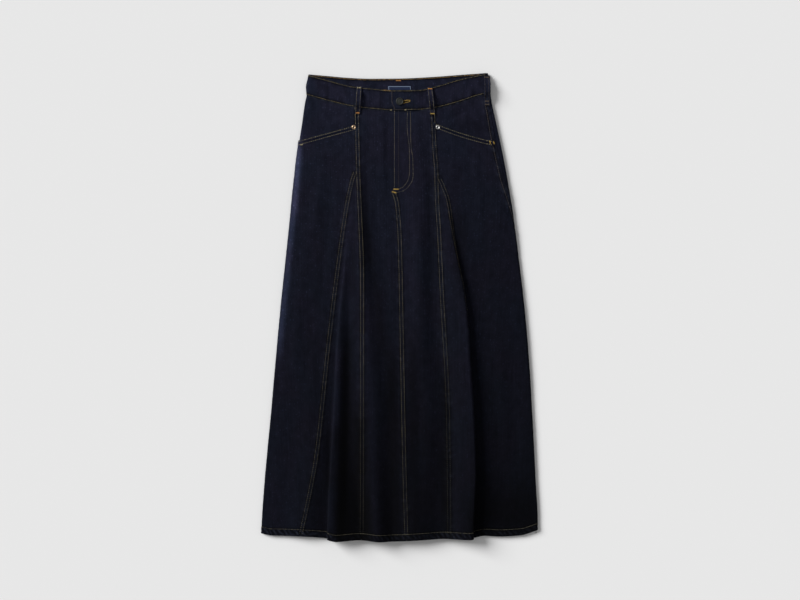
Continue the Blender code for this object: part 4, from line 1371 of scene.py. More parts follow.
def sew(
    name, guides, material, pitch=STITCH_PITCH, length=STITCH_LENGTH, radius=THREAD_RADIUS, turn=0.0,
    thread_shade=UNSHADED_THREAD, seed=1,
):
    """Stitches along these guides, as one mesh."""
    points = np.concatenate([line_points for line_points, _ in guides])
    # Painted shade on the stitches, darker towards the hem on most lines
    left = np.interp(LENGTH / 2 - points[:, 1], *zip(*thread_shade))
    points = points * MM
    ups = np.concatenate([line_ups for _, line_ups in guides])
    edges = []
    start = 0
    for line_points, _ in guides:
        count = len(line_points)
        edges += [(number, number + 1) for number in range(start, start + count - 1)]
        start += count
    mesh = bpy.data.meshes.new(name)
    mesh.from_pydata(points.tolist(), edges, [])
    up = mesh.attributes.new("up", "FLOAT_VECTOR", "POINT")
    up.data.foreach_set("vector", ups.astype(np.float32).ravel())
    painted_light_share = mesh.attributes.new("painted_light_share", "FLOAT", "POINT")
    painted_light_share.data.foreach_set("value", left.astype(np.float32))
    obj = new_object(name, mesh)
    modifier = obj.modifiers.new("sewing", "NODES")
    modifier.node_group = sewing
    values = {
        "Pitch": pitch * MM, "Stitch length": length * MM, "Thread radius": radius * MM,
        "Arch": THREAD_ARCH * radius * MM, "Turn": turn, "Seed": seed, "Thread": material,
    }
    for item in sewing.interface.items_tree:
        if item.in_out == "INPUT" and item.name in values:
            modifier[item.identifier] = values[item.name]
    settle(obj)
    obj.data.name = name
    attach(obj, "root")


def waist_of(mark):
    """How far below the top a seam leaves the waistband."""
    return float(waist_seam_edge(mark_at(mark, WAIST_ROW)))


def seam_lines(mark, start, end, offsets=(-STITCH_FROM_SEAM, STITCH_FROM_SEAM)):
    """Guides along a seam, one on each side of it."""
    below = evenly((start, end))
    return [on_cloth(mark(below) + off, below) for off in offsets]


HEM_SEAM_END = 919.0
FLY_EDGE_LINE = 1.0
FLY_HIDDEN_LINE = 8.8
FLY_INNER = (
    # across, below: down beside the zip, and round to the fly's foot
    (16.4, 79.5), (15.6, 100), (15.9, 114), (18.2, 134), (20.1, 154), (20.6, 180), (20.6, 200),
    (17.7, 214.5), (13.2, 222.3), (5.4, 230.3), (-2.2, 232.5),
)
FLY_OUTER = (
    # across, below
    (22.0, 79.5), (22.6, 100), (22.7, 130), (24.0, 154), (27.0, 172), (27.4, 190), (27.6, 204.5),
    (25.8, 216), (20.7, 225), (13.2, 233.8), (5.4, 237.6), (-4.6, 240),
)


def through(points):
    """Even steps along a smooth line through places across the front and below the top."""
    points = np.array(points, float)
    steps = np.concatenate([[0.0], np.cumsum(np.hypot(*np.diff(points, axis=0).T))])
    along = evenly((0.0, steps[-1]))
    return curve(steps, points[:, 0])(along), curve(steps, points[:, 1])(along)


centre_lines = seam_lines(centre_front, 243.0, HEM_SEAM_END)
below = evenly((waist_of(centre_front) + 1.5, 232.0))
centre_lines.append(on_cloth(centre_front(below) + FLY_EDGE_LINE, below))
centre_lines += [on_cloth(*through(points)) for points in (FLY_INNER, FLY_OUTER)]
sew("stitching_centre_front", centre_lines, seam_thread, thread_shade=CENTRE_THREAD_SHADE, seed=2)
hidden_line = on_cloth(centre_front(below) + FLY_HIDDEN_LINE, below)
sew("stitching_zip_tape", [hidden_line], brown_thread, radius=0.24, seed=18)

princess_lines = seam_lines(right_princess, waist_of(right_princess) + 2.0, HEM_SEAM_END)
sew("stitching_right_princess", princess_lines, seam_thread, thread_shade=RIGHT_PRINCESS_THREAD_SHADE, seed=3)
princess_lines = seam_lines(left_princess, waist_of(left_princess) + 2.0, HEM_SEAM_END)
sew("stitching_left_princess", princess_lines, seam_thread, thread_shade=LEFT_PRINCESS_THREAD_SHADE, seed=4)

# Gores
# Two long triangles of the same denim, let in between the centre and side panels from the hip down. The
# right one has folded itself up into a ridge, and the left one laps outwards over the side panel.
RIGHT_GORE_START = 1.0
LEFT_GORE_START = 8.0
gore_rows = long_rows(GORE_TOP + RIGHT_GORE_START)
plain_panel("gore_right", right_gore_seam, right_princess, 36, gore_rows, ["back_right"])
gore_rows = long_rows(GORE_TOP + LEFT_GORE_START)
plain_panel("gore_left", left_princess, left_gore_seam, 46, gore_rows, ["back_left", "side_front_left"])
gore_lines = seam_lines(right_gore_seam, 200.0, HEM_SEAM_END, (-2.7, 2.7))
sew("stitching_right_gore", gore_lines, seam_thread, thread_shade=SEAM_THREAD_SHADE, seed=5)
gore_lines = seam_lines(left_gore_seam, 215.0, HEM_SEAM_END)
sew("stitching_left_gore", gore_lines, seam_thread, thread_shade=SEAM_THREAD_SHADE, seed=6)

# Side front panels
# The panels outside the princess seams and the gores. Each begins at the slanting mouth of a hip pocket,
# whose edge is turned under and sewn down by two lines, and wraps round the side to the side seam.
POCKET_FADE = 190.0
POCKET_CORNER = 105
POCKET_MIDDLE = 120
POCKET_END = 130.0

# Mouths, as (below at the princess seam, slope outwards, bow)
RIGHT_POCKET = (104.0, 0.272, 0.0)
LEFT_POCKET = (99.7, 0.409, -0.00083)
POCKET_LINES = (2.4, 9.0)
MOUTH_RISE = 0.5
MOUTH_FALL = (1.5, 2.5)
MOUTH_REACH = 14.0
MOUTH_PUCKERS = (
    # height, sizes across and along, seed
    (0.35, 9.0, 40.0, 24),
)
# Painted shade on the turned edge, between its lines of stitches and just under them, uneven along it
MOUTH_SHADE_LINES = (
    # distance from the edge, half width, how dark
    (5.7, 2.0, 0.8),
    (11.2, 1.5, 0.6),
)
MOUTH_EVEN = 0.6
MOUTH_UNEVEN = (
    # share, sizes across and along, seed
    (0.4, 5.0, 5.0, 26),
)


def pocket_mouth(princess_line, side, mouth):
    """The edge of a pocket mouth, which falls away outwards from the princess seam."""
    def edge(across, front):
        top, slope, bow = mouth
        out = side * (across - princess_line(POCKET_CORNER))
        return top + slope * out + bow * out * out

    return edge_round(edge, POCKET_MIDDLE)


right_pocket_edge = pocket_mouth(right_princess_line, -1, RIGHT_POCKET)
left_pocket_edge = pocket_mouth(left_princess_line, 1, LEFT_POCKET)


def side_panel_drop(pocket_edge):
    """Rows that follow the pocket mouth at their top and the hem at their bottom."""
    def drop_of(row, around):
        at_top = 1 - smooth((row - WAIST_ROW) / POCKET_FADE)
        drop = row + at_top * (pocket_edge(around) - WAIST_ROW)
        return drop + at_hem(row) * (hem_edge(around) - HEM_ROW)
    return drop_of


def mouth_rise(pocket_edge, around, below):
    """The turned-under edge of the pocket mouth stands up, with a groove along each of its lines."""
    inside = below - pocket_edge(around)
    start, length = MOUTH_FALL
    rise = MOUTH_RISE * (1 - smooth((inside - POCKET_LINES[1] - start) / length))
    for line_at in POCKET_LINES:
        rise = rise - GROOVE * bell(inside - line_at, GROOVE_HALF)
    return rise + bell(inside, MOUTH_REACH) * uneven(MOUTH_PUCKERS, around, inside)


def mouth_shade(pocket_edge):
    """Painted shade on the turned edge: dark between its two lines of stitches, and just under them."""
    def shade(around, below):
        inside = below - pocket_edge(around)
        return (MOUTH_EVEN + uneven(MOUTH_UNEVEN, around, inside)) * shade_beside(inside, MOUTH_SHADE_LINES)
    return shade


def side_level(pocket_edge):
    return lambda row, around, below: stand(around, below) + mouth_rise(pocket_edge, around, below)


MOUTH_STEPS = (0.0, 0.12, 0.3, 0.6, 1.2, 1.9, 2.4, 2.9, 4.0, 6.0, 8.0, 9.0, 10.0, 11.5)
below_mouth = long_rows(WAIST_ROW + MOUTH_STEPS[-1])[len(END_STEPS) - 1:]
side_rows = np.concatenate([WAIST_ROW + np.array(MOUTH_STEPS[:-1]), below_mouth])
sides = {
    # side: (first seam, last seam, columns, pocket mouth)
    "right": (right_side_seam, right_gore_seam, 40, right_pocket_edge),
    "left": (left_gore_seam, left_side_seam, 44, left_pocket_edge),
}
for side, (start, end, columns, mouth) in sides.items():
    lay_cloth(
        "side_front_" + side, start, end, columns, side_rows, side_panel_drop(mouth), side_level(mouth),
        panel_wall, denim, ["back_" + side, "pocket_facing_" + side], shade=mouth_shade(mouth),
    )


def mouth_lines(pocket_edge, start, end):
    """The two lines of stitches along a pocket mouth, between two distances round."""
    around = evenly((start, end))
    level = side_level(pocket_edge)
    return [on_piece(level, around, pocket_edge(around) + line_at) for line_at in POCKET_LINES]


start, end = mark_at(right_side_seam, POCKET_END) + 2.0, mark_at(right_princess, POCKET_END) - 5.0
pocket_lines = mouth_lines(right_pocket_edge, start, end)
start, end = mark_at(left_princess, POCKET_END) + 5.0, mark_at(left_side_seam, POCKET_END) - 2.0
pocket_lines += mouth_lines(left_pocket_edge, start, end)
sew("stitching_pocket_mouths", pocket_lines, pale_thread, seed=7)

# Pocket facings
# The denim that shows between the waistband and each pocket mouth. It is part of the pocket's inside,
# is caught in the waist and side seams, and goes on down under the mouth's edge.
POCKET_TUCK = 14.0
FACING_INSET = 0.5
FACING_SUNK = 0.85
FACING_CLEAR = 0.3
FACING_CALM = 4.0
FACING_PUCKER = 0.8
FACING_PUCKER_SLANT = 0.5
FACING_PUCKER_SIZES = (7.0, 30.0, 34)
FACING_PUCKER_REACH = 11.0
FACING_WAVES = (
    # height, sizes across and along, seed
    (0.5, 22.0, 30.0, 33),
)


def facing_drop(pocket_edge):
    """Rows from the waist seam (0) to the pocket mouth (1) and its tuck under the side panel (2)."""
    def drop_of(row, around):
        start = waist_seam_edge(around) + SEAM_GAP / 2
        reach = pocket_edge(around) - start
        return start + np.minimum(row, 1.0) * reach + np.maximum(row - 1.0, 0.0) * POCKET_TUCK
    return drop_of


def facing_level(row, around, below):
    """The facing sinks under the side panel before it reaches the pocket mouth."""
    from_seam = below - waist_seam_edge(around)
    slanting = around + FACING_PUCKER_SLANT * from_seam
    pucker = wander(slanting, from_seam, *FACING_PUCKER_SIZES) * bell(from_seam, FACING_PUCKER_REACH)
    across = section(below).place(around)[0]
    waves = uneven(FACING_WAVES, around, below) + FACING_PUCKER * pucker + creased(across, below)
    sinking = (CLOTH + LAYER_GAP + FACING_CLEAR) * smooth(row / FACING_SUNK)
    return waves * smooth(row * FACING_CALM) - sinking


def even_wall(thickness):
    return lambda rows: np.full(len(rows), thickness)


facing_rows = np.concatenate(
    [[0, 0.003, 0.01, 0.02, 0.04], np.linspace(0.08, 1.0, 24), np.linspace(1.1, 2.0, 6)]
)
facings = {
    # side: (first edge, last edge, pocket mouth)
    "right": (lambda below: right_side_seam(below) + FACING_INSET, right_princess, right_pocket_edge),
    "left": (left_princess, lambda below: left_side_seam(below) - FACING_INSET, left_pocket_edge),
}
for side, (start, end, mouth) in facings.items():
    lay_cloth(
        "pocket_facing_" + side, start, end, 34, facing_rows, facing_drop(mouth), facing_level,
        even_wall(CLOTH), denim, ["back_" + side],
    )

# Back panels
# Two wide panels seamed down the centre back. They lie flat on the surface, which presses them smooth
# but for some shallow creases, and only a sliver of the left one shows, at the side.
back_rows = long_rows(WAIST_ROW, BACK_ROW_STEP)
plain_panel("back_right", back_seam_by_right, right_side_seam, 56, back_rows, [])
plain_panel("back_left", left_side_seam, back_seam_by_left, 56, back_rows, [])
BACK_SEAM_START = 56.0
side_lines = seam_lines(right_side_seam, BACK_SEAM_START, HEM_SEAM_END, (-2.4,))
side_lines += seam_lines(left_side_seam, BACK_SEAM_START, HEM_SEAM_END, (-2.4,))
sew("stitching_side_seams", side_lines, brown_thread, thread_shade=SEAM_THREAD_SHADE, seed=8)
back_lines = seam_lines(back_seam_by_right, BACK_SEAM_START, HEM_SEAM_END, (3.1,))
back_lines += seam_lines(back_seam_by_left, BACK_SEAM_START, HEM_SEAM_END, (-3.1,))
sew("stitching_centre_back", back_lines, seam_thread, thread_shade=SEAM_THREAD_SHADE, seed=9)


# The hem's one line of stitches goes all the way round
def hem_guide(start, end):
    around = evenly((start, end))
    return on_cloth(around, hem_edge(around) - HEM_STITCH)


hem_marks = [back_seam_by_right, right_side_seam, left_side_seam, back_seam_by_left]
hem_places = [mark_at(mark, 915.0) for mark in hem_marks]
hem_lines = [hem_guide(start + 0.5, end - 0.5) for start, end in zip(hem_places[:-1], hem_places[1:])]
sew("stitching_hem", hem_lines, hem_thread, pitch=3.1, length=2.8, radius=0.40, seed=10)

# Waistband
# A straight band of doubled denim, stitched close to both edges. Its left front end laps over the right
# one and has the buttonhole, and the inside of the back part shows above the front's dip.
BAND_WALL = 2.4
BAND_PROUD = 0.6
BAND_ROUND = 1.0
BAND_WIDTH = 38.0
BAND_LINES = (2.2, 36.0)
BAND_WAVES = (
    # height, sizes across and along, seed
    (0.22, 26.0, 60.0, 41),
    (0.30, 9.0, 16.0, 43),
)
# Painted shade beside the band's lines of stitches and in the troughs of its ripples, and a darker mottle
BESIDE_BAND_LINE = 1.9
BAND_LINE_HALF = 1.0
BAND_LINE_SHADE = 0.7
BAND_MOTTLE = 0.5
RIPPLE = 0.42
RIPPLE_SLANT = 0.5
RIPPLE_SIZES = (6.5, 1.0, 42)
RIPPLE_REACH = 6.0
TAB_END = (
    # below, across: the left end stands upright and then bends in towards the seam
    (30, -16.8),
    (58, -16.8),
    (63, -15.6),
    (69, -12.6),
    (82, -10.4),
)
TAB_LINE = 2.2
UNDERLAP_EDGE = 24.0
LAP_SHIFT = 1.4
RIGHT_BAND_SINK = (-41.0, -23.0)
LEFT_BAND_SINK = (28.0, 50.0)


def waist_top(across, front):
    return front * front_top(across) + (1 - front) * back_top(across)


waist_top_edge = edge_round(waist_top, 20)


def band_drop(row, around):
    """Rows from the waistband's top edge (0) to the seam under it (1)."""
    top = waist_top_edge(around)
    return top + row * (waist_seam_edge(around) - SEAM_GAP / 2 - top)


def down_band(around, below):
    """How far down the band a place is, and how far below each of its two lines."""
    down = below - waist_top_edge(around)
    width = waist_seam_edge(around) - waist_top_edge(around)
    return down, [down - line_at * width / BAND_WIDTH for line_at in BAND_LINES]


def band_ripple(around, off):
    return wander(around + RIPPLE_SLANT * off, 0.0, *RIPPLE_SIZES)


def band_relief(around, below):
    """The band's lines press it in, and it ripples a little along them."""
    down, offs = down_band(around, below)
    raised = uneven(BAND_WAVES, around, down)
    for off in offs:
        raised = raised - GROOVE * bell(off, GROOVE_HALF)
        raised = raised + RIPPLE * band_ripple(around, off) * bell(off, RIPPLE_REACH)
    return raised


def band_shade(around, below):
    """Painted shade on the band: dark beside its lines of stitches and where it ripples along them, with an
    uneven darker mottle.
    """
    down, offs = down_band(around, below)
    _, *finer = BAND_WAVES[1]
    dark = BAND_MOTTLE * np.maximum(wander(around, down, *finer), 0.0)
    for off in map(np.abs, offs):
        ripple = 0.5 - 0.5 * band_ripple(around, off)
        dark = dark + BAND_LINE_SHADE * bell(off - BESIDE_BAND_LINE, BAND_LINE_HALF)
        dark = dark + BAND_LINE_SHADE * ripple * bell(off, RIPPLE_REACH)
    return dark


def right_band_level(row, around, below):
    start, end = RIGHT_BAND_SINK
    shifted = -LAP_SHIFT * smooth((around - start) / (end - start))
    return BAND_PROUD + shifted + band_relief(around, below)


def left_band_level(row, around, below):
    start, end = LEFT_BAND_SINK
    shifted = LAP_SHIFT * (1 - smooth((around - start) / (end - start)))
    return BAND_PROUD + shifted + band_relief(around, below)


def back_band_level(row, around, below):
    return BAND_PROUD + np.minimum(band_relief(around, below), 0.0) - 0.1


tab_end = mark_of(column(TAB_END, 1))
underlap_end = mark_of(lambda below: np.full(np.shape(below), UNDERLAP_EDGE))


def right_side_seam_by_left(below):
    """The right side seam, reached the long way round the back."""
    return right_side_seam(below) + section(below).whole


band_steps = np.array((0.0, 0.15, 0.4, 0.8, 1.3, 1.8, 2.4, 3.1, 4.5, 6.5))
band_rows = np.concatenate([
    band_steps / BAND_WIDTH, np.linspace(9.0, BAND_WIDTH - 9.0, 10) / BAND_WIDTH,
    1 - band_steps[::-1] / BAND_WIDTH,
])
bands = {
    # name: (first edge, last edge, columns, level, what it lies on)
    "waistband_front_right": (right_side_seam, underlap_end, 70, right_band_level, ["waistband_back"]),
    "waistband_front_left": (tab_end, left_side_seam, 70, left_band_level, ["waistband_front_right"]),
    "waistband_back": (left_side_seam, right_side_seam_by_left, 110, back_band_level, []),
}
band_pieces = {}
for name, (start, end, columns, level, lies_on) in bands.items():
    band_pieces[name] = lay_cloth(
        name, start, end, columns, band_rows, band_drop, level, even_wall(BAND_WALL), denim, lies_on,
        wrong_side=0.0, radius=BAND_ROUND, shade=band_shade,
    )


def band_line(start, end, line_at, level, side=1.0):
    """A guide along the band, this far down it, on its outer (1) or inner (-1) face."""
    around = evenly((start, end))
    top = waist_top_edge(around)
    below = top + line_at * (waist_seam_edge(around) - top) / BAND_WIDTH
    raised = level(0.0, around, below)
    return guide(around, below, raised if side > 0 else raised - BAND_WALL, side)


BAND_ROW = 40.0
BAND_INSET = 1.0
right_start = mark_at(right_side_seam, BAND_ROW) + BAND_INSET
left_end = mark_at(left_side_seam, BAND_ROW) - BAND_INSET
upper, lower = BAND_LINES
band_lines = [
    band_line(right_start, -18.2, upper, right_band_level),
    band_line(-14.6, left_end, upper, left_band_level),
    band_line(right_start, -15.0, lower, right_band_level),
    band_line(12.0, left_end, lower, left_band_level),
]
sew("stitching_waistband_front", band_lines, band_thread, pitch=3.0, length=2.5, seed=11)

# The tab's own line is sewn in dark thread, and ties off where the pale lines end
below = evenly((39.5, 73.5))
tab_lines = [
    on_piece(left_band_level, tab_end(below) + TAB_LINE, below),
    band_line(-7.6, 10.5, lower, left_band_level),
]
sew("stitching_tab", tab_lines, brown_thread, pitch=3.0, length=2.5, seed=19)

back_start = mark_at(left_side_seam, BAND_ROW) + BAND_INSET
back_end = mark_at(right_side_seam_by_left, BAND_ROW) - BAND_INSET
inner_lines = [band_line(back_start, back_end, line_at, back_band_level, -1.0) for line_at in BAND_LINES]
sew("stitching_waistband_back", inner_lines, amber_thread, pitch=3.0, length=2.7, radius=0.42, seed=12)

# The buttonhole
# A keyhole cut through the left end of the band: an eyelet for the button's shank and a slit beside it,
# tilted, with a close row of golden cross stitches round the cut.
BUTTON_ACROSS = 0.8
BUTTON_BELOW = 58.8
EYELET_RADIUS = 2.7
SLIT_START = 1.5
SLIT_LENGTH = 20.0
SLIT_OFFSET = -2.4
SLIT_TILT = math.radians(10.0)
SLIT_HALF = (1.5, 0.25)
HOLE_EDGE = 1.2
CUT_DEPTH = 12.0
EYELET_SIDES = 48


def plain_mesh(name, corners, faces):
    """An object from corners in millimetres."""
    mesh = bpy.data.meshes.new(name)
    mesh.from_pydata([tuple(float(value) * MM for value in corner) for corner in corners], [], faces)
    return new_object(name, mesh)


def seat_of(around, below):
    """One place on the plain cloth, and the direction out of it."""
    points, outs = face(np.array([around]), np.array([below]))
    return points[0], outs[0]


button_place, button_out = seat_of(BUTTON_ACROSS, BUTTON_BELOW)


def keyhole(edge):
    """The buttonhole's outline, this far outside its cut, anticlockwise from where slit and eyelet meet."""
    cos, sin = math.cos(SLIT_TILT), math.sin(SLIT_TILT)
    radius = EYELET_RADIUS + edge
    length = SLIT_LENGTH + 0.5 * edge
    wide, narrow = SLIT_HALF[0] + edge, SLIT_HALF[1] + edge
    outline = []
    for angle in np.linspace(0.0, 2 * math.pi, EYELET_SIDES, endpoint=False):
        x, y = radius * math.cos(angle), radius * math.sin(angle)
        across = (y - SLIT_OFFSET) * cos - x * sin
        along = x * cos + (y - SLIT_OFFSET) * sin
        if along < SLIT_START or abs(across) > wide:
            outline.append((x, y))
    heights = [math.atan2(y, x) % (2 * math.pi) for x, y in outline]
    gaps = [(after - before) % (2 * math.pi) for before, after in zip(heights, heights[1:] + heights[:1])]
    first = gaps.index(max(gaps)) + 1
    outline = outline[first:] + outline[:first]
    for along, across in ((SLIT_START, -wide), (length, -narrow), (length, narrow), (SLIT_START, wide)):
        x, y = along * cos - across * sin, along * sin + across * cos + SLIT_OFFSET
        if math.hypot(x, y) > radius:
            outline.append((x, y))
    return [(button_place[0] + x, button_place[1] + y) for x, y in outline]


hole = keyhole(0.0)
count = len(hole)
low = [(x, y, button_place[2] - CUT_DEPTH / 2) for x, y in hole]
high = [(x, y, button_place[2] + CUT_DEPTH / 2) for x, y in hole]
walls = [(start, (start + 1) % count, (start + 1) % count + count, start + count) for start in range(count)]
caps = [tuple(range(count))[::-1], tuple(range(count, 2 * count))]
cutter = plain_mesh("buttonhole_cutter", low + high, walls + caps)
left_band = band_pieces["waistband_front_left"]
cut = left_band.modifiers.new("buttonhole", "BOOLEAN")
cut.operation = "DIFFERENCE"
cut.solver = "EXACT"
cut.object = cutter
settle(left_band)
bpy.data.objects.remove(cutter)

sewn_round = keyhole(HOLE_EDGE)
sewn_round.append(sewn_round[0])
steps = [math.dist(a, b) for a, b in zip(sewn_round[:-1], sewn_round[1:])]
steps = np.concatenate([[0.0], np.cumsum(steps)])
along = np.arange(0.0, steps[-1], 0.5)
hole_around = np.interp(along, steps, [x for x, _ in sewn_round])
hole_below = LENGTH / 2 - np.interp(along, steps, [y for _, y in sewn_round])
hole_guide = on_piece(left_band_level, hole_around, hole_below, 0.1)
sew(
    "buttonhole_stitches", [hole_guide], gold_thread, pitch=0.55, length=1.5, radius=0.22,
    turn=math.pi / 2, seed=13,
)

# Tack button
# A round tack button of blackened metal, with a raised rim round a plain hollow. Its shank goes through
# the eyelet and is riveted to the right end of the band.
BUTTON_RADIUS = 7.5
BUTTON_HEIGHT = 2.8
SHANK_RADIUS = 2.0
TRIM_SIDES = 96
TRIM_SHARP = math.radians(35)
BUTTON_HEAD = (
    # share of the radius, share of the height: down the outside, from the middle of the top
    (0.0, 0.80),
    (0.30, 0.80),
    (0.52, 0.74),
    (0.62, 0.68),
    (0.67, 0.70),
    (0.71, 0.84),
    (0.76, 0.95),
    (0.82, 1.0),
    (0.88, 0.97),
    (0.94, 0.86),
    (0.98, 0.68),
    (1.0, 0.48),
    (1.0, 0.28),
    (0.97, 0.10),
    (0.90, 0.0),
)


def metal(name, colour, rough_from, rough_to):
    """Worn metal: its shine is uneven, and its colour changes a little with it."""
    material, tree, shader = new_material(name, 0.4, 0.5, 1.0)
    place = add_node(tree, "ShaderNodeTexCoord")["Object"]
    cloudy = add_node(tree, "ShaderNodeTexNoise", {"Vector": place, "Scale": 900.0, "Detail": 4.0})[0]
    rough = add_range(tree, cloudy, 0.3, 0.7, rough_from, rough_to)
    tree.links.new(rough, shader.inputs["Roughness"])
    dull = [0.6 * value for value in colour]
    tree.links.new(add_mix(tree, cloudy, (*dull, 1.0), (*colour, 1.0)), shader.inputs["Base Color"])
    add_bump(tree, shader, cloudy, 0.05, 0.4)
    return material


dark_metal = metal("blackened_metal", (0.052, 0.055, 0.052), 0.5, 0.7)
copper_metal = metal("copper_metal", (0.60, 0.42, 0.27), 0.3, 0.5)
pale_metal = metal("pale_metal", (0.78, 0.77, 0.74), 0.2, 0.42)


def turned(name, profile, place, out, materials, inner_rings=0):
    """A round trim: a profile of (radius, height) from its top middle down to its foot, turned round."""
    angles = np.linspace(0.0, 2 * math.pi, TRIM_SIDES, endpoint=False)
    aim = Vector(out).to_track_quat("Z", "Y").to_matrix()
    rings = profile[1:-1]
    corners = [(0.0, 0.0, profile[0][1])]
    for radius, height in rings:
        corners += [(radius * math.cos(angle), radius * math.sin(angle), height) for angle in angles]
    corners.append((0.0, 0.0, profile[-1][1]))
    placed = [aim @ Vector(corner) + Vector(place) for corner in corners]
    following = [(side + 1) % TRIM_SIDES for side in range(TRIM_SIDES)]
    faces = [(0, 1 + side, 1 + following[side]) for side in range(TRIM_SIDES)]
    for ring in range(len(rings) - 1):
        near, far = 1 + ring * TRIM_SIDES, 1 + (ring + 1) * TRIM_SIDES
        faces += [
            (near + side, far + side, far + following[side], near + following[side])
            for side in range(TRIM_SIDES)
        ]
    last = 1 + (len(rings) - 1) * TRIM_SIDES
    faces += [(last + following[side], last + side, len(corners) - 1) for side in range(TRIM_SIDES)]
    obj = plain_mesh(name + "_metal", placed, faces)
    for material in materials:
        obj.data.materials.append(material)
    for number, polygon in enumerate(obj.data.polygons):
        polygon.material_index = 1 if number < inner_rings * TRIM_SIDES else 0
    obj.data.shade_smooth()
    obj.data.set_sharp_from_angle(angle=TRIM_SHARP)
    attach(obj, "root")
    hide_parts(name)
    return obj


seat = BAND_PROUD + LAP_SHIFT + LAYER_GAP
under_button = BAND_PROUD - LAP_SHIFT + SEAM_GAP
button_profile = [(BUTTON_RADIUS * out, seat + BUTTON_HEIGHT * up) for out, up in BUTTON_HEAD]
button_profile += [(SHANK_RADIUS, seat), (SHANK_RADIUS, under_button), (0.0, under_button)]
button = turned("waist_button", button_profile, button_place, button_out, [dark_metal])

# Pocket rivets
# A round rivet holds the top corner of each pocket mouth: a ring round the dark end of its post, of dull
# copper on the right one and of pale metal on the left one.
RIVET_RADIUS = 4.2
RIVET_HEIGHT = 1.7
RIVETS = {
    # name: (across, below, metal of its ring, slot)
    "pocket_rivet_right": (-90.8, 109.6, copper_metal, "copper_rivet"),
    "pocket_rivet_left": (76.6, 109.8, pale_metal, "pale_rivet"),
}
POST_RINGS = 3
RING = (
    # share of the radius, share of the height
    (0.0, 0.45),
    (0.30, 0.43),
    (0.40, 0.40),
    (0.44, 0.62),
    (0.52, 0.86),
    (0.66, 1.0),
    (0.80, 0.92),
    (0.92, 0.66),
    (1.0, 0.28),
    (1.0, 0.0),
    (0.0, 0.0),
)
ring_profile = [(RIVET_RADIUS * out, LAYER_GAP + RIVET_HEIGHT * up) for out, up in RING]
for name, (across, below, ring_metal, slot) in RIVETS.items():
    rivet = turned(name, ring_profile, *seat_of(across, below), [ring_metal, dark_metal], POST_RINGS)

# Belt loops
# Folded strips of denim with a line of stitches along each edge. Both ends are turned under and held by a
# bartack, and the front and side loops stand off the band between them. Two more lie under the back.
LOOP_WIDTH = 11.0
LOOP_WALL = 1.6
LOOP_STAND_OFF = 4.8
LOOP_EDGE = 0.18
LOOP_GROOVE = 0.22
LOOP_GROOVE_HALF = 0.6
LOOP_UNEVEN = 0.22
LOOP_UNEVEN_SIZES = (4.0, 6.0)

# Shares of its length between which a loop lifts off the band and comes down to it again
LOOP_STAND = (0.10, 0.32, 0.62, 0.86)
BAND_EDGE = 4.5
LOOPS = {
    # name: (across at the top, below at the top, across at the bottom, below at the bottom)
    "belt_loop_front_right": (-80.0, 29.5, -83.2, 83.8),
    "belt_loop_front_left": (60.8, 31.0, 66.4, 85.2),
    "belt_loop_side_left": (174.0, 8.0, 175.0, 66.5),
}
FLAT_LOOPS = {
    # name: (across, below at the top, below at the bottom)
    "belt_loop_centre_back": (-2.0, 13.5, 61.5),
    "belt_loop_side_right": (-166.0, 6.5, 54.0),
}
FLAT_LOOP_WALL = 1.3

# The loops under the back are pressed this much thinner
PRESSED = 0.45
LOOP_LINES = 3.6
TACK_PITCH = 0.5
TACK_LENGTH = 2.3
TACK_RADIUS = 0.26


def straight_drop(row, around):
    return row + 0.0 * around


def loop_relief(off, below, seed):
    """The folded strip's edges stand up a little, and its lines of stitches press it in."""
    raised = -LOOP_EDGE * np.cos(math.pi * np.clip(np.abs(off) / LOOP_LINES, 0.0, 1.0))
    raised = raised - LOOP_GROOVE * bell(np.abs(off) - LOOP_LINES, LOOP_GROOVE_HALF)
    return raised + LOOP_UNEVEN * wander(off, below, *LOOP_UNEVEN_SIZES, seed)


class Loop:
    """One standing loop: where its middle is, and how far it stands off the lay."""

    def __init__(self, number, top_across, top_below, bottom_across, bottom_below):
        self.top = top_below
        self.bottom = bottom_below
        self.across = (top_across, bottom_across)
        self.seed = 50 + number

    def share(self, below):
        return (below - self.top) / (self.bottom - self.top)

    def side(self, offset):
        """The line this far beside the loop's middle, as a mark."""
        start, end = self.across
        return mark_of(lambda below: start + (end - start) * self.share(below) + offset)

    def level(self, row, around, below):
        share = self.share(below)
        start, full, held, end = LOOP_STAND
        off_band = smooth((share - start) / (full - start)) * (1 - smooth((share - held) / (end - held)))
        on_band = 1 - smooth((below - waist_seam_edge(around) + BAND_EDGE) / BAND_EDGE)
        rest = BAND_PROUD * on_band + LAYER_GAP
        off = around - self.side(0.0)(below)
        return rest + LOOP_STAND_OFF * off_band + LOOP_WALL + loop_relief(off, below, self.seed)

    def across_guide(self, below, reach=4.2):
        """A short guide across the loop, for a bartack."""
        off = evenly((-reach, reach), 0.5)
        rows = np.full(len(off), float(below))
        around = self.side(0.0)(rows) + off
        return on_piece(self.level, around, rows, 0.1)


def loop_rows(top, bottom):
    ends = np.array((0.0, 0.12, 0.3, 0.6, 1.1))
    return np.concatenate([top + ends, np.linspace(top + 2.0, bottom - 2.0, 38), bottom - ends[::-1]])


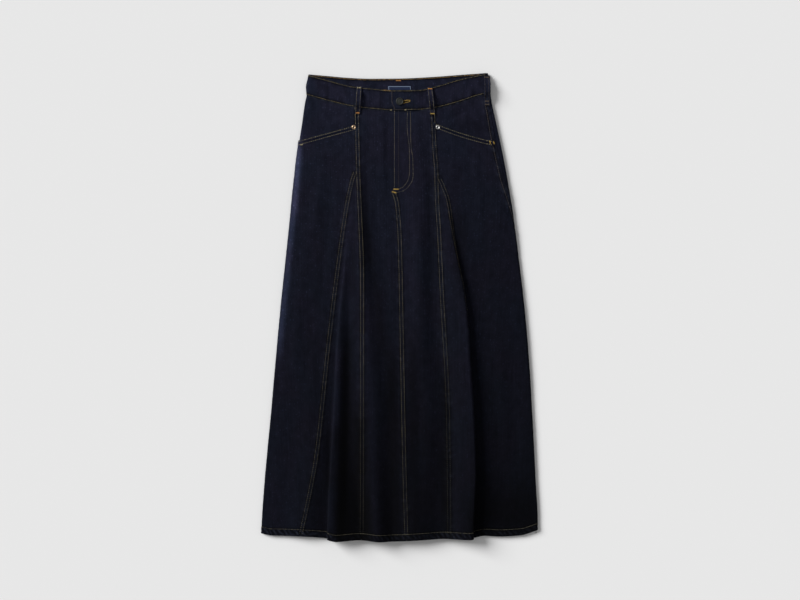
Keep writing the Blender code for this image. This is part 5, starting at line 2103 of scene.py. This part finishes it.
loops = {}
loop_lines = []
side_loop_lines = []
for number, (name, places) in enumerate(LOOPS.items()):
    loop = Loop(number, *places)
    loops[name] = loop
    half_width = (LOOP_WIDTH + SEAM_GAP) / 2
    lay_cloth(
        name, loop.side(-half_width), loop.side(half_width), 4, loop_rows(loop.top, loop.bottom),
        straight_drop, loop.level, even_wall(LOOP_WALL), denim,
        ["waistband_front_left" if "left" in name else "waistband_front_right"], wrong_side=0.0, radius=0.5,
    )
    below = evenly((loop.top + 1.0, loop.bottom - 1.0))
    lines = side_loop_lines if "side" in name else loop_lines
    for off in (-LOOP_LINES, LOOP_LINES):
        lines.append(on_piece(loop.level, loop.side(off)(below), below))


def flat_piece(name, first, last, rows, level, wall, material, columns, lies_on):
    """A piece that lies flat on the back, between two places across."""
    lay_cloth(
        name, back_mark(first + SEAM_GAP / 2), back_mark(last - SEAM_GAP / 2), columns, rows,
        straight_drop, lambda row, around, below: level + 0.0 * around, even_wall(wall), material,
        lies_on, wrong_side=0.0, radius=0.4,
    )


for name, (across, top, bottom) in FLAT_LOOPS.items():
    half_width = LOOP_WIDTH / 2
    flat_piece(
        name, across + half_width, across - half_width, loop_rows(top, bottom), BACK_LIFT - PRESSED,
        FLAT_LOOP_WALL - PRESSED, denim, 4, [],
    )
    below = evenly((top + 1.0, bottom - 1.0))
    for off in (-LOOP_LINES, LOOP_LINES):
        loop_lines.append(guide(back_mark(across + off)(below), below, BACK_LIFT - 0.5))
sew("stitching_belt_loops", loop_lines, seam_thread, pitch=2.8, length=2.2, radius=0.34, seed=14)
sew("stitching_side_loop", side_loop_lines, brown_thread, pitch=2.8, length=2.3, radius=0.27, seed=21)

# Bartacks
# Dense zigzag stitches in orange and gold thread, where the skirt takes the most strain: at both ends of
# each belt loop, at the foot of the fly and at the outer ends of the pocket mouths.
right_loop = loops["belt_loop_front_right"]
left_loop = loops["belt_loop_front_left"]
side_loop = loops["belt_loop_side_left"]
orange_tacks = [right_loop.across_guide(81.6, 3.5), left_loop.across_guide(33.5)]
gold_tacks = [left_loop.across_guide(83.0)]
pale_tacks = [right_loop.across_guide(31.5, 3.6)]
brown_tacks = [
    side_loop.across_guide(58.0, 3.8), side_loop.across_guide(64.6, 3.8), side_loop.across_guide(10.5),
]
FLY_TACKS = (
    # across, below, to across, to below
    (-11.4, 233.4, -1.4, 233.4),
    (-14.6, 238.4, -6.0, 240.8),
)
LEFT_POCKET_TACKS = (
    # across, below, to across, to below
    (181.0, 136.8, 182.2, 143.0),
    (187.4, 137.8, 189.8, 143.0),
)
BACK_TACK_BELOW = 16.0
RIGHT_POCKET_TACK = (-197.5, 145.0, -193.0, 144.0)
TAB_TACK = (-31.0, 35.8, -17.6, 36.8)
LINE_ENDS = (
    # across, below, to across, to below: where the pale lines of the band are tied off
    (-17.4, 76.0, -15.4, 76.0),
    (11.0, 75.6, 13.4, 75.6),
)


def tack_between(across, below, to_across, to_below, level):
    """A guide for a bartack between two places on the front."""
    share = evenly((0.0, 1.0), 0.04)
    row = below + (to_below - below) * share
    around = section(row).round_at(across + (to_across - across) * share)
    return on_piece(level, around, row, 0.12)


gold_tacks += [tack_between(*ends, panel_level) for ends in FLY_TACKS]
gold_tacks += [tack_between(*ends, side_level(left_pocket_edge)) for ends in LEFT_POCKET_TACKS]
amber_tacks = [tack_between(*TAB_TACK, right_band_level)]
pale_tacks.append(tack_between(*RIGHT_POCKET_TACK, side_level(right_pocket_edge)))
pale_tacks.append(tack_between(*LINE_ENDS[0], right_band_level))
pale_tacks.append(tack_between(*LINE_ENDS[1], left_band_level))

# The centre back loop's tack goes through the band and shows inside it
back_tack = mark_at(back_seam_by_left, BACK_TACK_BELOW) + evenly((-4.6, 4.6), 0.5)
back_tack_below = np.full(len(back_tack), BACK_TACK_BELOW)
under = back_band_level(0.0, back_tack, back_tack_below) - BAND_WALL - 0.15
orange_tacks.append(guide(back_tack, back_tack_below, under, -1.0))
tack_sizes = {"pitch": TACK_PITCH, "length": TACK_LENGTH, "radius": TACK_RADIUS, "turn": math.pi / 2}
sew("bartacks_orange", orange_tacks, orange_thread, seed=15, **tack_sizes)
sew("bartacks_gold", gold_tacks, gold_thread, seed=16, **tack_sizes)
sew("bartacks_pale", pale_tacks, pale_thread, seed=17, **tack_sizes)
sew("bartacks_brown", brown_tacks, brown_thread, seed=20, **tack_sizes)
tack_sizes.update(pitch=0.8, length=1.5, radius=0.22)
sew("bartack_underlap", amber_tacks, amber_thread, seed=22, **tack_sizes)

# Waist label
# A small woven label inside the back of the waistband, navy with a pale woven edge, and left bare. It is
# sewn down along both short ends, and the front of the band hides most of it.
LABEL_ACROSS = (-23.0, 23.0)
LABEL_BELOW = (27.0, 57.0)
LABEL_WALL = 0.8
LABEL_NAVY = (0.008, 0.016, 0.050, 1.0)
LABEL_PALE = (0.20, 0.25, 0.33, 1.0)
LABEL_BORDER = (0.8, 1.8)
LABEL_RIBS = 900.0

label_weave, tree, shader = new_material("label_weave", 0.75, 0.2)
lay = add_node(tree, "ShaderNodeUVMap", uv_map="lay")[0]
parts = add_node(tree, "ShaderNodeSeparateXYZ", {0: lay})


def inside(part, ends):
    """How far a place is inside two edges of the label, in metres. The edges are in millimetres."""
    middle, half = (ends[0] + ends[1]) / 2 * MM, abs(ends[1] - ends[0]) / 2 * MM
    from_middle = add_math(tree, "ABSOLUTE", add_math(tree, "SUBTRACT", part, middle))
    return add_math(tree, "SUBTRACT", half, from_middle)


to_end = inside(parts["X"], [mark_at(back_mark(across), LABEL_BELOW[0]) for across in LABEL_ACROSS])
to_side = inside(parts["Y"], [-below for below in LABEL_BELOW])
to_edge = add_math(tree, "MINIMUM", to_end, to_side)
inside_edge = add_math(tree, "GREATER_THAN", to_edge, LABEL_BORDER[0] * MM)
outside_field = add_math(tree, "LESS_THAN", to_edge, LABEL_BORDER[1] * MM)
border = add_math(tree, "MULTIPLY", inside_edge, outside_field)
ribs = add_wave(tree, lay, LABEL_RIBS, bands_direction="Y")
rib_shade = add_math(tree, "MULTIPLY_ADD", ribs, 0.5, 0.75)
field = add_mix(tree, border, LABEL_NAVY, LABEL_PALE)
tree.links.new(scaled(tree, field, rib_shade), shader.inputs["Base Color"])
add_bump(tree, shader, ribs, 0.1, 0.6)
label_rows = np.concatenate([
    LABEL_BELOW[0] + np.array((0.0, 0.12, 0.3, 0.6)),
    np.linspace(LABEL_BELOW[0] + 2, LABEL_BELOW[1] - 2, 10),
    LABEL_BELOW[1] - np.array((0.6, 0.3, 0.12, 0.0)),
])
label_level = -(BAND_WALL - BAND_PROUD + SEAM_GAP)
flat_piece(
    "waist_label", LABEL_ACROSS[1], LABEL_ACROSS[0], label_rows, label_level, LABEL_WALL, label_weave, 10,
    ["waistband_back"],
)

# Floor, light and camera
# The skirt lies on a plain pale surface. Soft light comes from beyond its waist and its right side, and
# the camera looks straight down at it.
FLOOR_DROP = 0.4

# In metres
FLOOR_SIZE = 6.0
CAMERA_PLACE = (0.0014, 0.0131, 2.9)

# The sun's size in the sky, its share of the light, and how brightly both light the floor
SUN_ANGLE = math.radians(30)
SUN_SHARE = 0.66
FLOOR_GLOW = 1.0
SUN_AZIMUTH = math.radians(150)
SUN_ELEVATION = math.radians(28)
CAMERA_LENS = 65.25

floor_mesh = bpy.data.meshes.new("floor")
half_floor = FLOOR_SIZE / 2
floor_corners = [(-1, -1), (1, -1), (1, 1), (-1, 1)]
floor_mesh.from_pydata(
    [(x * half_floor, y * half_floor, -FLOOR_DROP * MM) for x, y in floor_corners], [], [(0, 1, 2, 3)]
)
floor = new_object("floor", floor_mesh)
floor_paint, tree, shader = new_material("pale_floor", 0.9, 0.1)
shader.inputs["Base Color"].default_value = (0.8, 0.8, 0.8, 1.0)
floor_mesh.materials.append(floor_paint)

sun = bpy.data.lights.new("sun", "SUN")
sun.energy = SUN_SHARE * FLOOR_GLOW * math.pi / math.sin(SUN_ELEVATION)
sun.angle = SUN_ANGLE
sun_object = new_object("sun", sun)
towards_sun = Vector((
    math.cos(SUN_AZIMUTH) * math.cos(SUN_ELEVATION), math.sin(SUN_AZIMUTH) * math.cos(SUN_ELEVATION),
    math.sin(SUN_ELEVATION),
))
sun_object.rotation_mode = "QUATERNION"
sun_object.rotation_quaternion = towards_sun.to_track_quat("Z", "Y")

world = bpy.data.worlds.new("studio")
world.use_nodes = True
backdrop = world.node_tree.nodes["Background"]
backdrop.inputs["Color"].default_value = (1.0, 1.0, 1.0, 1.0)
backdrop.inputs["Strength"].default_value = (1 - SUN_SHARE) * FLOOR_GLOW
bpy.context.scene.world = world
bpy.context.scene.view_settings.view_transform = "Standard"

camera = bpy.data.cameras.new("camera")
camera.lens = CAMERA_LENS
camera_object = new_object("camera", camera)
camera_object.location = CAMERA_PLACE
bpy.context.scene.camera = camera_object
